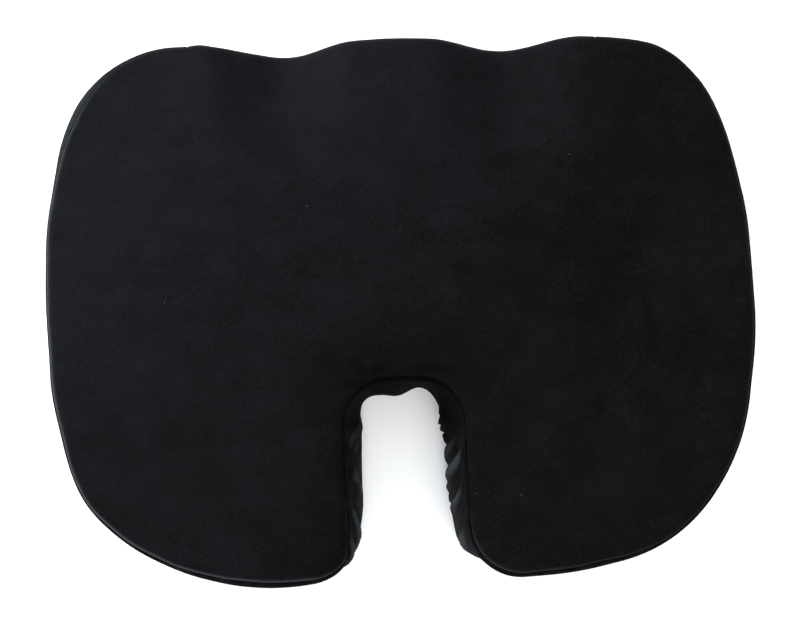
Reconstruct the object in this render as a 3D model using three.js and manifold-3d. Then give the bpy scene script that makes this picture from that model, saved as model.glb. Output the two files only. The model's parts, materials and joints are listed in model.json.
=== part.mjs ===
// U-shaped seat cushion: a moulded foam core in a zipped velour cover.
// Millimetres, +Z up. The origin is on the floor, under the middle of the outline.
// +Y is the front, where the thighs lie; the tailbone notch opens to the back, -Y.
import * as THREE from "three";
import { mergeVertices } from "three/addons/utils/BufferGeometryUtils.js";
import Module from "manifold-3d";

const wasm = await Module();
wasm.setup();

// ---- Driving dimensions ----------------------------------------------------

const WIDTH = 450;
const DEPTH = 350;
const HEIGHT = 70;
const TOP_EDGE_RADIUS = 9;
const BASE_EDGE_RADIUS = 5;

const NOTCH_WIDTH = 74;
const NOTCH_DEPTH = 125;
const NOTCH_END_RADIUS = 28; // inner corners at the notch's closed end
const NOTCH_MOUTH_RADIUS = 40; // lobes' inner corners

const RECESS_SPACING = 150; // between the middles of the two leg recesses
const RECESS_WIDTH = 92;
const RECESS_DEPTH = 24; // at the front face
const RECESS_LENGTH = 105; // from the front face to where it runs out

const FABRIC = 1.2; // cover thickness
const GAP = 0.3; // between pieces that touch
const TOP_SEAM_INSET = 2.5; // top seam, measured in from the outer face
const BASE_SEAM_INSET = 2;

const ZIP_END_MARGIN = 10; // from the end of the straight front to the zip opening
const TAPE_LAP = 6; // tape hidden behind each band
const TAPE_THICKNESS = 0.6;
const COIL_HALF_WIDTH = 3.1;
const COIL_THICKNESS = 1.8;
const COIL_SPINE = 0.9; // solid back of each coil half
const COIL_PITCH = 2.5;
const COIL_TOOTH = 0.85; // tooth width along the chain
const COIL_OVERLAP = 1; // how far a tooth reaches past the centre line

const SLIDER_LENGTH = 10.6;
const SLIDER_FLARE = 0.6; // the nose is wider than the tail by this on each side
const SLIDER_WING = 1.1;
const SLIDER_WALL = 0.9;
const SLIDER_POST_LENGTH = 3;
const SLIDER_POST_WIDTH = 2;
const BRIDGE_BORE = 2.4; // inside length of the bridge that holds the pull
const BRIDGE_WALL = 0.9;
const BRIDGE_WIDTH = 2;
const PULL_LENGTH = 24;
const PULL_WIDTH = 6;
const PULL_THICKNESS = 1;
const PULL_NECK_WALL = 1.2; // beside the eye
const STOP_LENGTH = 2.2;
const STOP_WALL = 0.6;
const RUNNING_GAP = 0.4; // round the slider and the pull's end bar, on each side
const BAND_CLEARANCE = 2; // from the slider to the band above and below it
const POST_CLEARANCE = 0.5; // from the slider's post to each tape
const EYE_CLEARANCE = 1.2; // from the bridge to the end of the pull's eye

const ARC_STEP = THREE.MathUtils.degToRad(10);
const BASE_EDGE_STEPS = 2;
const TOP_EDGE_STEPS = 4;

// ---- Levels that follow from them -------------------------------------------

const FRONT = DEPTH / 2;
const BACK = -DEPTH / 2;
const SLIDER_TAIL_WIDTH = 2 * (COIL_HALF_WIDTH + RUNNING_GAP + SLIDER_WALL);
const SLIDER_NOSE_WIDTH = SLIDER_TAIL_WIDTH + 2 * SLIDER_FLARE;
const BRIDGE_HEIGHT = PULL_THICKNESS + 2 * RUNNING_GAP; // inside
const ZIP_OPENING = SLIDER_NOSE_WIDTH + 2 * BAND_CLEARANCE; // slot between the two front bands
const TAPE_EDGE = SLIDER_POST_WIDTH / 2 + POST_CLEARANCE; // from the zip's centre line
const LOWEST_FRONT = HEIGHT - RECESS_DEPTH;
const ZIP_HEIGHT = (BASE_EDGE_RADIUS + LOWEST_FRONT) / 2; // halfway up the upright part of the wall
const TAPE_FACE = FRONT - FABRIC - GAP;
const TAPE_BACK = TAPE_FACE - TAPE_THICKNESS;
const TAPE_HALF_WIDTH = ZIP_OPENING / 2 + TAPE_LAP;
const COIL_BACK = TAPE_FACE + GAP;
const COIL_FACE = COIL_BACK + COIL_THICKNESS;
const WING_BACK = TAPE_BACK - RUNNING_GAP - SLIDER_WING;
const WING_FACE = COIL_FACE + RUNNING_GAP + SLIDER_WING;
const CORE_INSET = FABRIC + GAP;

// ---- Solids -----------------------------------------------------------------

/** A closed three.js geometry as a solid that can be cut and joined. */
function solid(geometry) {
  const plain = geometry.clone();
  plain.deleteAttribute("normal");
  plain.deleteAttribute("uv");
  const merged = mergeVertices(plain, 1e-4);
  return new wasm.Manifold(new wasm.Mesh({
    numProp: 3,
    vertProperties: new Float32Array(merged.attributes.position.array),
    triVerts: new Uint32Array(merged.index.array),
  }));
}

/** A solid back as a three.js geometry. */
function geometryOf(body) {
  const mesh = body.getMesh();
  const geometry = new THREE.BufferGeometry();
  geometry.setAttribute("position", new THREE.BufferAttribute(new Float32Array(mesh.vertProperties), 3));
  geometry.setIndex(new THREE.BufferAttribute(new Uint32Array(mesh.triVerts), 1));
  geometry.computeVertexNormals();
  return geometry;
}

/** A box given by its lowest and highest corners. */
function boxBetween(low, high) {
  const size = high.map((value, i) => value - low[i]);
  const middle = high.map((value, i) => (value + low[i]) / 2);
  return solid(new THREE.BoxGeometry(...size).translate(...middle));
}

/** A flat shape in X and Z, given thickness along Y from `back` to `face`. */
function plateFacingFront(points, back, face, holes = []) {
  // The shape is drawn in X and -Z, so that turning it upright leaves its depth along +Y.
  const flip = (p) => new THREE.Vector2(p.x, -p.y);
  const shape = new THREE.Shape(points.map(flip));
  shape.holes = holes.map((hole) => new THREE.Path(hole.map(flip)));
  const geometry = new THREE.ExtrudeGeometry(shape, { depth: face - back, bevelEnabled: false });
  geometry.rotateX(-Math.PI / 2);
  geometry.translate(0, back, 0);
  return solid(geometry);
}

// ---- Outline ----------------------------------------------------------------

/** The arc that rounds corner `b` of a closed outline, given its neighbours and its radius. */
function cornerArc(a, b, c, radius) {
  const before = b.clone().sub(a).normalize();
  const after = c.clone().sub(b).normalize();
  const turn = Math.atan2(before.cross(after), before.dot(after));
  const side = new THREE.Vector2(-before.y, before.x).multiplyScalar(Math.sign(turn));
  const tangent = radius * Math.tan(Math.abs(turn) / 2);
  const centre = b.clone().addScaledVector(before, -tangent).addScaledVector(side, radius);
  const start = Math.atan2(-side.y, -side.x);
  return { centre, radius, start, turn, tangent };
}

/** Corner arcs of a closed outline. Where two arcs want more than their shared edge, both shrink. */
function cornerArcs(corners) {
  const count = corners.length;
  const at = (i) => corners[(i + count) % count];
  const arcOf = (i, radius) => cornerArc(at(i - 1).point, at(i).point, at(i + 1).point, radius);
  const wanted = corners.map((corner, i) => arcOf(i, corner.radius).tangent);
  const share = corners.map((corner, i) => {
    const next = (i + 1) % count;
    return Math.min(1, corner.point.distanceTo(corners[next].point) / (wanted[i] + wanted[next]));
  });
  return corners.map((corner, i) => {
    const limit = Math.min(share[i], share[(i + count - 1) % count]);
    return arcOf(i, corner.radius * limit);
  });
}

/** Points of rounded corners, moved inwards by `inset`; a hollow corner grows as the others shrink. */
function arcPoints(arcs, inset = 0) {
  return arcs.flatMap(({ centre, radius, start, turn }) => {
    const steps = Math.ceil(Math.abs(turn) / ARC_STEP);
    const r = radius - Math.sign(turn) * inset;
    return Array.from({ length: steps + 1 }, (_, k) => {
      const angle = start + (turn * k) / steps;
      return new THREE.Vector2(Math.cos(angle), Math.sin(angle)).multiplyScalar(r).add(centre);
    });
  });
}

/** Corner of the cushion's right half: shares of the half width and half depth, and its radius. */
const corner = (shareX, shareY, radius) => ({
  point: new THREE.Vector2((shareX * WIDTH) / 2, (shareY * DEPTH) / 2),
  radius,
});

// From the notch's end round the right lobe and side to the front corner.
const RIGHT_HALF = [
  { point: new THREE.Vector2(NOTCH_WIDTH / 2, BACK + NOTCH_DEPTH), radius: NOTCH_END_RADIUS },
  { point: new THREE.Vector2(NOTCH_WIDTH / 2, BACK), radius: NOTCH_MOUTH_RADIUS },
  corner(0.436, -1, 160), // lobe, inner end
  corner(0.742, -0.905, 110), // lobe, outer end
  corner(0.948, -0.554, 150),
  corner(1, -0.166, 260), // widest part
  corner(1, 0.32, 190),
  corner(0.954, 0.728, 90),
  corner(0.767, 1, 64), // front corner
];

const mirrored = ({ point, radius }) => ({ point: new THREE.Vector2(-point.x, point.y), radius });
const OUTLINE = cornerArcs([...RIGHT_HALF, ...RIGHT_HALF.map(mirrored).reverse()]);

const frontCorner = OUTLINE[RIGHT_HALF.length - 1];
const ZIP_HALF_LENGTH = frontCorner.centre.x - ZIP_END_MARGIN;

// ---- Cushion bodies ----------------------------------------------------------

/** A closed body through rings of outline points, each ring at its own inset and height. */
function loft(rings) {
  const points = rings.map(({ inset }) => arcPoints(OUTLINE, inset));
  const count = points[0].length;
  const position = points.flatMap((ring, k) => ring.flatMap((p) => [p.x, p.y, rings[k].z]));
  const index = [];
  for (let k = 0; k + 1 < rings.length; k++) {
    for (let i = 0; i < count; i++) {
      const low = k * count + i;
      const lowNext = k * count + ((i + 1) % count);
      index.push(low, lowNext, lowNext + count, low, lowNext + count, low + count);
    }
  }
  const top = (rings.length - 1) * count;
  for (const [a, b, c] of THREE.ShapeUtils.triangulateShape(points[0], [])) {
    index.push(a, c, b);
    index.push(top + a, top + b, top + c);
  }
  const geometry = new THREE.BufferGeometry();
  geometry.setAttribute("position", new THREE.Float32BufferAttribute(position, 3));
  geometry.setIndex(index);
  return solid(geometry);
}

/** Upright prism whose wall is the outline moved in by `inset`. */
const prism = (inset, low, high) => loft([{ inset, z: low }, { inset, z: high }]);

/** Quarter-round edge of the body `depth` under the cover's face, as rings from its foot up. */
function edgeRings(depth, radius, steps, ringAt) {
  return Array.from({ length: steps + 1 }, (_, k) => {
    const angle = (k / steps) * (Math.PI / 2);
    return ringAt(depth + (radius - depth) * (1 - Math.sin(angle)), (radius - depth) * Math.cos(angle));
  });
}

/** Cutter for the leg recesses: two smooth dips that run out towards the back. */
function legRecesses(depth) {
  const reach = 40; // past the body on every side
  const steps = 12; // along one dip
  const floor = [new THREE.Vector2(WIDTH / 2 + reach, 0)];
  for (const side of [1, -1]) {
    for (let k = 0; k <= steps; k++) {
      const across = 1 - (2 * k) / steps;
      const x = (side * RECESS_SPACING) / 2 + (across * RECESS_WIDTH) / 2;
      floor.push(new THREE.Vector2(x, (-RECESS_DEPTH * (1 + Math.cos(Math.PI * across))) / 2));
    }
  }
  floor.push(new THREE.Vector2(-WIDTH / 2 - reach, 0));
  const roof = [-1, 1].map((side) => new THREE.Vector2(side * (WIDTH / 2 + reach), HEIGHT));
  const cutter = plateFacingFront([...floor, ...roof], -2 * RECESS_LENGTH, reach);
  const slope = Math.atan2(RECESS_DEPTH, RECESS_LENGTH);
  return cutter.rotate([THREE.MathUtils.radToDeg(-slope), 0, 0]).translate([0, FRONT, HEIGHT - depth]);
}

/** The cushion's body `depth` under the cover's outer face. */
function cushionBody(depth) {
  const foot = edgeRings(depth, BASE_EDGE_RADIUS, BASE_EDGE_STEPS, (inset, drop) => ({
    inset,
    z: BASE_EDGE_RADIUS - drop,
  }));
  const brow = edgeRings(depth, TOP_EDGE_RADIUS, TOP_EDGE_STEPS, (inset, rise) => ({
    inset,
    z: HEIGHT - TOP_EDGE_RADIUS + rise,
  })).reverse();
  return loft([...foot, ...brow]).subtract(legRecesses(depth));
}

// ---- Cover --------------------------------------------------------------------

const COVER_SHELL = cushionBody(0).subtract(cushionBody(FABRIC));
const TOP_SEAM_LEVEL = LOWEST_FRONT - TOP_EDGE_RADIUS; // under every top seam
const BASE_SEAM_LEVEL = BASE_EDGE_RADIUS;

const topPanel = () => COVER_SHELL.intersect(prism(TOP_SEAM_INSET, TOP_SEAM_LEVEL, HEIGHT + 1));
const basePanel = () => COVER_SHELL.intersect(prism(BASE_SEAM_INSET, -1, BASE_SEAM_LEVEL));

const BAND = COVER_SHELL
  .subtract(prism(TOP_SEAM_INSET - GAP, TOP_SEAM_LEVEL - GAP, HEIGHT + 1))
  .subtract(prism(BASE_SEAM_INSET - GAP, -1, BASE_SEAM_LEVEL + GAP));

/** The stretch of the front wall between the zip's two end seams, from `low` to `high`. */
function frontStretch(halfLength, low, high) {
  return boxBetween([-halfLength, FRONT - 3 * TOP_EDGE_RADIUS, low], [halfLength, FRONT + 1, high]);
}

const sideBand = () => BAND.subtract(frontStretch(ZIP_HALF_LENGTH + GAP, -1, HEIGHT + 1));
const frontBand = (low, high) => BAND.intersect(frontStretch(ZIP_HALF_LENGTH, low, high));

// ---- Foam core ------------------------------------------------------------------

/** The foam, pressed in behind the zip: shallow under the tapes, deeper where the slider runs. */
function foamCore() {
  const tapeEnd = ZIP_HALF_LENGTH + TAPE_LAP + GAP;
  const tapeHalf = TAPE_HALF_WIDTH + GAP;
  const groove = SLIDER_NOSE_WIDTH / 2 + 1;
  const relief = (half, back) => boxBetween(
    [-tapeEnd, back, ZIP_HEIGHT - half],
    [tapeEnd, FRONT + 1, ZIP_HEIGHT + half],
  );
  return cushionBody(CORE_INSET)
    .subtract(relief(tapeHalf, TAPE_BACK - GAP))
    .subtract(relief(groove, WING_BACK - RUNNING_GAP));
}

// ---- Zip --------------------------------------------------------------------------

/** One tape; `side` is 1 above the centre line and -1 below it. */
function zipTape(side) {
  const edges = [side * TAPE_EDGE, side * TAPE_HALF_WIDTH].map((z) => ZIP_HEIGHT + z);
  const end = ZIP_HALF_LENGTH + TAPE_LAP;
  return boxBetween([-end, TAPE_BACK, Math.min(...edges)], [end, TAPE_FACE, Math.max(...edges)]);
}

const STOP_START = -ZIP_HALF_LENGTH + 1; // outer end of the top stops
const SLIDER_NOSE = STOP_START + STOP_LENGTH + GAP;
const SLIDER_TAIL = SLIDER_NOSE + SLIDER_LENGTH;
const POST_END = SLIDER_NOSE + GAP + SLIDER_POST_LENGTH;
const BOTTOM_STOP_END = ZIP_HALF_LENGTH - 1;
const COIL_START = POST_END + RUNNING_GAP;
const COIL_END = BOTTOM_STOP_END - STOP_LENGTH - GAP;

/** One half of the coil: a spine with teeth that pass between the other half's teeth. */
function zipCoil(side) {
  const shift = side > 0 ? 0 : COIL_PITCH / 2;
  const teeth = Math.floor((COIL_END - COIL_START - COIL_PITCH) / COIL_PITCH);
  const spine = COIL_HALF_WIDTH - COIL_SPINE;
  const points = [new THREE.Vector2(COIL_START, spine)];
  for (let k = 0; k < teeth; k++) {
    const start = COIL_START + shift + k * COIL_PITCH + GAP;
    const end = start + COIL_TOOTH;
    points.push(new THREE.Vector2(start, spine), new THREE.Vector2(start, -COIL_OVERLAP));
    points.push(new THREE.Vector2(end, -COIL_OVERLAP), new THREE.Vector2(end, spine));
  }
  points.push(new THREE.Vector2(COIL_END, spine));
  points.push(new THREE.Vector2(COIL_END, COIL_HALF_WIDTH), new THREE.Vector2(COIL_START, COIL_HALF_WIDTH));
  const placed = points.map((p) => new THREE.Vector2(p.x, ZIP_HEIGHT + side * p.y));
  return plateFacingFront(side > 0 ? placed : placed.reverse(), COIL_BACK, COIL_FACE);
}

const STOP_REACH = COIL_HALF_WIDTH + RUNNING_GAP; // from the centre line to a stop's far edge

/** A stop crimped round the tapes' inner edges, from `low` to `high` about the centre line. */
function zipStop(start, low, high) {
  const end = start + STOP_LENGTH;
  const past = STOP_REACH + 1;
  const block = boxBetween(
    [start, TAPE_BACK - GAP - STOP_WALL, ZIP_HEIGHT + low],
    [end, COIL_FACE, ZIP_HEIGHT + high],
  );
  const slot = (side) => {
    const edges = [side * (TAPE_EDGE - GAP), side * past].map((z) => ZIP_HEIGHT + z);
    return boxBetween(
      [start - 1, TAPE_BACK - GAP, Math.min(...edges)],
      [end + 1, TAPE_FACE + GAP, Math.max(...edges)],
    );
  };
  return block.subtract(slot(1)).subtract(slot(-1));
}

/** The slider: two wings joined by a post at the nose, side walls, and a bridge for the pull. */
function zipSlider() {
  const taper = (nose, tail) => [
    new THREE.Vector2(SLIDER_NOSE + 1.6, -nose / 2),
    new THREE.Vector2(SLIDER_TAIL - 0.8, -tail / 2),
    new THREE.Vector2(SLIDER_TAIL, -tail / 2 + 0.8),
    new THREE.Vector2(SLIDER_TAIL, tail / 2 - 0.8),
    new THREE.Vector2(SLIDER_TAIL - 0.8, tail / 2),
    new THREE.Vector2(SLIDER_NOSE + 1.6, nose / 2),
    new THREE.Vector2(SLIDER_NOSE, nose / 2 - 1.8),
    new THREE.Vector2(SLIDER_NOSE, -nose / 2 + 1.8),
  ];
  const upright = (points) => points.map((p) => new THREE.Vector2(p.x, ZIP_HEIGHT + p.y));
  const wings = plateFacingFront(
    upright(taper(SLIDER_NOSE_WIDTH, SLIDER_TAIL_WIDTH)),
    WING_BACK,
    WING_FACE,
  );
  const wide = SLIDER_NOSE_WIDTH;
  const tapeSlot = boxBetween(
    [SLIDER_NOSE - 1, WING_BACK + SLIDER_WING, ZIP_HEIGHT - wide],
    [SLIDER_TAIL + 1, COIL_BACK, ZIP_HEIGHT + wide],
  );
  const channelNose = SLIDER_NOSE_WIDTH / 2 - SLIDER_WALL;
  const channelTail = SLIDER_TAIL_WIDTH / 2 - SLIDER_WALL;
  const channel = plateFacingFront(
    upright([
      new THREE.Vector2(SLIDER_NOSE - 1, -channelNose),
      new THREE.Vector2(SLIDER_TAIL + 1, -channelTail),
      new THREE.Vector2(SLIDER_TAIL + 1, channelTail),
      new THREE.Vector2(SLIDER_NOSE - 1, channelNose),
    ]),
    COIL_BACK - 0.1,
    WING_FACE - SLIDER_WING,
  );
  const postMiddle = (SLIDER_NOSE + GAP + POST_END) / 2;
  const post = plateFacingFront(
    upright([
      new THREE.Vector2(SLIDER_NOSE + GAP, 0),
      new THREE.Vector2(postMiddle, -SLIDER_POST_WIDTH / 2),
      new THREE.Vector2(POST_END, 0),
      new THREE.Vector2(postMiddle, SLIDER_POST_WIDTH / 2),
    ]),
    WING_BACK + SLIDER_WING / 2,
    WING_FACE - SLIDER_WING / 2,
  );
  return wings.subtract(tapeSlot).subtract(channel).add(post).add(sliderBridge());
}

// The pull's end bar turns here, in the middle of the bridge's bore.
const PIVOT_X = (SLIDER_NOSE + SLIDER_TAIL) / 2;
const PIVOT_Y = WING_FACE + BRIDGE_HEIGHT / 2;

/** The bridge on the slider's front wing. */
function sliderBridge() {
  const halfOut = BRIDGE_BORE / 2 + BRIDGE_WALL;
  const outer = boxBetween(
    [PIVOT_X - halfOut, WING_FACE - SLIDER_WING / 2, ZIP_HEIGHT - BRIDGE_WIDTH / 2],
    [PIVOT_X + halfOut, WING_FACE + BRIDGE_HEIGHT + BRIDGE_WALL, ZIP_HEIGHT + BRIDGE_WIDTH / 2],
  );
  const bore = boxBetween(
    [PIVOT_X - BRIDGE_BORE / 2, WING_FACE, ZIP_HEIGHT - BRIDGE_WIDTH],
    [PIVOT_X + BRIDGE_BORE / 2, WING_FACE + BRIDGE_HEIGHT, ZIP_HEIGHT + BRIDGE_WIDTH],
  );
  return outer.subtract(bore);
}

/** The pull tab: a flat plate whose eye passes over the bridge, with its end bar under it. */
function zipPull() {
  const half = PULL_WIDTH / 2;
  const barHalf = PULL_THICKNESS / 2; // the end bar is as deep as the plate is thick
  const tip = PULL_LENGTH - barHalf;
  const eyeStart = barHalf;
  const eyeEnd = Math.max(BRIDGE_BORE, BRIDGE_HEIGHT) / 2 + BRIDGE_WALL + EYE_CLEARANCE;
  const eyeHalf = BRIDGE_WIDTH / 2 + RUNNING_GAP;
  const chamfer = 0.3;
  const place = (x, z) => new THREE.Vector2(PIVOT_X + x, ZIP_HEIGHT + z);
  const neck = eyeHalf + PULL_NECK_WALL;
  const outline = [
    place(-barHalf, -neck + chamfer),
    place(-barHalf + chamfer, -neck),
    place(eyeEnd + 1, -neck),
    place(eyeEnd + 4, -half),
    place(tip - 1.6, -half),
    place(tip, -half + 1.6),
    place(tip, half - 1.6),
    place(tip - 1.6, half),
    place(eyeEnd + 4, half),
    place(eyeEnd + 1, neck),
    place(-barHalf + chamfer, neck),
    place(-barHalf, neck - chamfer),
  ];
  const eye = [
    place(eyeStart, -eyeHalf),
    place(eyeStart, eyeHalf),
    place(eyeEnd, eyeHalf),
    place(eyeEnd, -eyeHalf),
  ];
  const y = PIVOT_Y;
  return plateFacingFront(outline, y - PULL_THICKNESS / 2, y + PULL_THICKNESS / 2, [eye]);
}

// ---- Finishes and assembly -----------------------------------------------------------

const finish = (color, roughness, metalness = 0) =>
  new THREE.MeshStandardMaterial({ color, roughness, metalness });

const velour = finish(0x17181b, 0.95);
const baseCloth = finish(0x141414, 0.8);
const foam = finish(0xe9e2cf, 0.9);
const tapeCloth = finish(0x121212, 0.85);
const nylon = finish(0x0e0e0f, 0.45);
const blackMetal = finish(0x1a1a1c, 0.35, 0.8);

const cushion = new THREE.Group();
cushion.name = "seat_cushion";

function addPiece(name, body, material, parent = cushion) {
  const mesh = new THREE.Mesh(geometryOf(body), material);
  mesh.name = name;
  parent.add(mesh);
}

addPiece("foam_core", foamCore(), foam);
addPiece("top_panel", topPanel(), velour);
addPiece("side_band", sideBand(), velour);
addPiece("front_band_upper", frontBand(ZIP_HEIGHT + ZIP_OPENING / 2, HEIGHT + 1), velour);
addPiece("front_band_lower", frontBand(-1, ZIP_HEIGHT - ZIP_OPENING / 2), velour);
addPiece("base_panel", basePanel(), baseCloth);

const zip = new THREE.Group();
cushion.add(zip);
for (const [half, side] of [["upper", 1], ["lower", -1]]) {
  const edges = [side * GAP, side * STOP_REACH];
  addPiece(`zip_tape_${half}`, zipTape(side), tapeCloth, zip);
  addPiece(`zip_coil_${half}`, zipCoil(side), nylon, zip);
  addPiece(`zip_top_stop_${half}`, zipStop(STOP_START, Math.min(...edges), Math.max(...edges)), nylon, zip);
}
addPiece("zip_bottom_stop", zipStop(COIL_END + GAP, -STOP_REACH, STOP_REACH), nylon, zip);
addPiece("zip_slider", zipSlider(), blackMetal, zip);
addPiece("zip_pull", zipPull(), blackMetal, zip);

export default cushion;
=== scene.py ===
"""Looks of a U-shaped seat cushion in black velour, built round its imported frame.

Metres, +Z up. +Y is the front edge with the leg recesses; the tailbone notch opens to -Y.
"""

import json
import logging
import math
from dataclasses import dataclass, field
from enum import Enum
from typing import Any, Callable, Iterable, Sequence

import bmesh
import bpy
import numpy as np
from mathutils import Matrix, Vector, geometry, noise


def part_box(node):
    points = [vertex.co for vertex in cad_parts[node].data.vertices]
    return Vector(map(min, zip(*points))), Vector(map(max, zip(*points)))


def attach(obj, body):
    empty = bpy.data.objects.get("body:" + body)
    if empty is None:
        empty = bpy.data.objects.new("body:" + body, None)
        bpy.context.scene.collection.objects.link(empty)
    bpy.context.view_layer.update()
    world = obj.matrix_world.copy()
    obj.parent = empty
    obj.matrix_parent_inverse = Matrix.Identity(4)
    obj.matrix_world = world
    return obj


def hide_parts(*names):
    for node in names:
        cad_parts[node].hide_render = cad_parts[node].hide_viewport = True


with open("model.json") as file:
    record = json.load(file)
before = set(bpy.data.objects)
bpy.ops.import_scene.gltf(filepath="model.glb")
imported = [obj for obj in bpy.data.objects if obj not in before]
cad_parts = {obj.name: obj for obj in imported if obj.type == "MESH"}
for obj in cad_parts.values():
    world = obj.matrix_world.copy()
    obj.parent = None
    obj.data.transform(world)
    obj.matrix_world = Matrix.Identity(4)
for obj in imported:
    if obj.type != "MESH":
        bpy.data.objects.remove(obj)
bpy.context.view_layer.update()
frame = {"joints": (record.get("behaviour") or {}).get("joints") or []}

log = logging.getLogger("seat_cushion")

MM = 0.001
ARC_STEPS = 80  # points along each rounded corner of the outline
Array = np.ndarray


class Body(Enum):
    """The rigid bodies that pieces ride on."""

    CUSHION = "cushion"
    SLIDER = "slider"
    PULL = "pull"


class Slot(Enum):
    """The record's material slots."""

    FOAM = "foam"
    VELOUR = "velour"
    BASE = "base_cloth"
    TAPE = "zip_tape"
    NYLON = "zip_nylon"
    METAL = "zip_metal"


# ---- Shader graph ----


class Value:
    """A number in a shader graph: arithmetic on it adds Math nodes."""

    def __init__(self, shader: "Shader", socket: Any) -> None:
        """Wraps an output socket of `shader`."""
        self.shader = shader
        self.socket = socket

    def math(self, operation: str, *others: Any) -> "Value":
        """Adds one Math node.

        Args:
            operation: The Math node's operation.
            others: The further operands, values or numbers.

        Returns:
            The node's result.
        """
        return self.shader.math(operation, self, *others)

    def __add__(self, other: Any) -> "Value":
        """self + other."""
        return self.math("ADD", other)

    def __sub__(self, other: Any) -> "Value":
        """self - other."""
        return self.math("SUBTRACT", other)

    def __mul__(self, other: Any) -> "Value":
        """self * other."""
        return self.math("MULTIPLY", other)

    def __gt__(self, other: Any) -> "Value":
        """1 where self > other, else 0."""
        return self.math("GREATER_THAN", other)

    def __lt__(self, other: Any) -> "Value":
        """1 where self < other, else 0."""
        return self.math("LESS_THAN", other)

    def __radd__(self, other: Any) -> "Value":
        """other + self."""
        return self.shader.math("ADD", other, self)

    def __rsub__(self, other: Any) -> "Value":
        """other - self."""
        return self.shader.math("SUBTRACT", other, self)

    def __rmul__(self, other: Any) -> "Value":
        """other * self."""
        return self.shader.math("MULTIPLY", other, self)


class Shader:
    """A material under construction."""

    def __init__(self, name: str) -> None:
        """Starts a material with one Principled shader."""
        self.material = bpy.data.materials.new(name)
        self.material.use_nodes = True
        self.nodes = self.material.node_tree.nodes
        self.links = self.material.node_tree.links
        self.surface = next(n for n in self.nodes if n.type == "BSDF_PRINCIPLED")
        self.place = self.node("ShaderNodeTexCoord").outputs["Object"]

    def node(self, kind: str, settings: dict[str, Any] | None = None, sockets: dict | None = None) -> Any:
        """Adds a node.

        Args:
            kind: The node's type.
            settings: Properties that are set first; "stops" are a colour ramp's (place, colour) pairs.
            sockets: Values or links of its inputs, by name or number.

        Returns:
            The node.
        """
        made = self.nodes.new(kind)
        for key, value in (settings or {}).items():
            if key == "stops":
                ramp = made.color_ramp
                while len(ramp.elements) < len(value):
                    ramp.elements.new(1.0)
                for element, (place, colour) in zip(ramp.elements, value):
                    element.position, element.color = place, (*colour, 1.0)
            else:
                setattr(made, key, value)
        for key, value in (sockets or {}).items():
            self.put(made.inputs[key], value)
        return made

    def put(self, socket: Any, value: Any) -> None:
        """Links a value to an input socket, or sets the socket to a constant.

        Args:
            socket: An input socket.
            value: A value, an output socket or a constant.
        """
        if isinstance(value, Value):
            value = value.socket
        if isinstance(value, bpy.types.NodeSocket):
            self.links.new(value, socket)
        else:
            socket.default_value = value

    def math(self, operation: str, *operands: Any) -> Value:
        """One Math node on values or numbers."""
        made = self.node("ShaderNodeMath", {"operation": operation}, dict(enumerate(operands)))
        return Value(self, made.outputs[0])

    def set(self, **sockets: Any) -> None:
        """Sets inputs of the Principled shader; an underscore in a name stands for a space."""
        for key, value in sockets.items():
            self.put(self.surface.inputs[key.replace("_", " ")], value)

    def stretched(self, scale: Sequence[float], turn: float = 0.0) -> Any:
        """Object coordinates scaled on each axis, after a turn about Z in radians."""
        made = self.node(
            "ShaderNodeMapping",
            {"vector_type": "POINT"},
            {"Vector": self.place, "Scale": tuple(scale), "Rotation": (0.0, 0.0, turn)},
        )
        return made.outputs[0]

    def noise(self, scale: float, detail: float = 2.0, rough: float = 0.5, place: Any = None) -> Value:
        """Noise between 0 and 1, `scale` features per metre."""
        made = self.node(
            "ShaderNodeTexNoise",
            {"noise_dimensions": "3D"},
            {"Vector": place or self.place, "Scale": scale, "Detail": detail, "Roughness": rough},
        )
        return Value(self, made.outputs[0])

    def ramp(self, value: Value, low: float, high: float) -> Value:
        """`value` stretched so that low becomes 0 and high 1, smoothly."""
        made = self.node(
            "ShaderNodeMapRange",
            {"interpolation_type": "SMOOTHSTEP"},
            {"Value": value, "From Min": low, "From Max": high},
        )
        return Value(self, made.outputs[0])

    def blend(self, factor: Any, first: Any, second: Any) -> Any:
        """A colour between `first` and `second`, as its output socket."""
        made = self.node(
            "ShaderNodeMix",
            {"data_type": "RGBA"},
            {0: factor, 6: colour(first), 7: colour(second)},
        )
        return made.outputs[2]

    def relief(self, height: Any, distance: float, strength: float = 1.0, under: Any = None) -> Any:
        """Adds a bump.

        Args:
            height: What stands proud.
            distance: How far a height of 1 stands proud, in metres.
            strength: Share of the bump that shows.
            under: A normal that this one adds to.

        Returns:
            The normal's socket.
        """
        sockets = {"Height": height, "Distance": distance, "Strength": strength}
        if under is not None:
            sockets["Normal"] = under
        return self.node("ShaderNodeBump", {}, sockets).outputs[0]


def colour(value: Any) -> Any:
    """A colour of three numbers with its alpha of 1; a socket or value as it is."""
    if isinstance(value, (tuple, list)) and len(value) == 3:
        return (*value, 1.0)
    return value.socket if isinstance(value, Value) else value


# ---- Finishes ----


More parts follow.
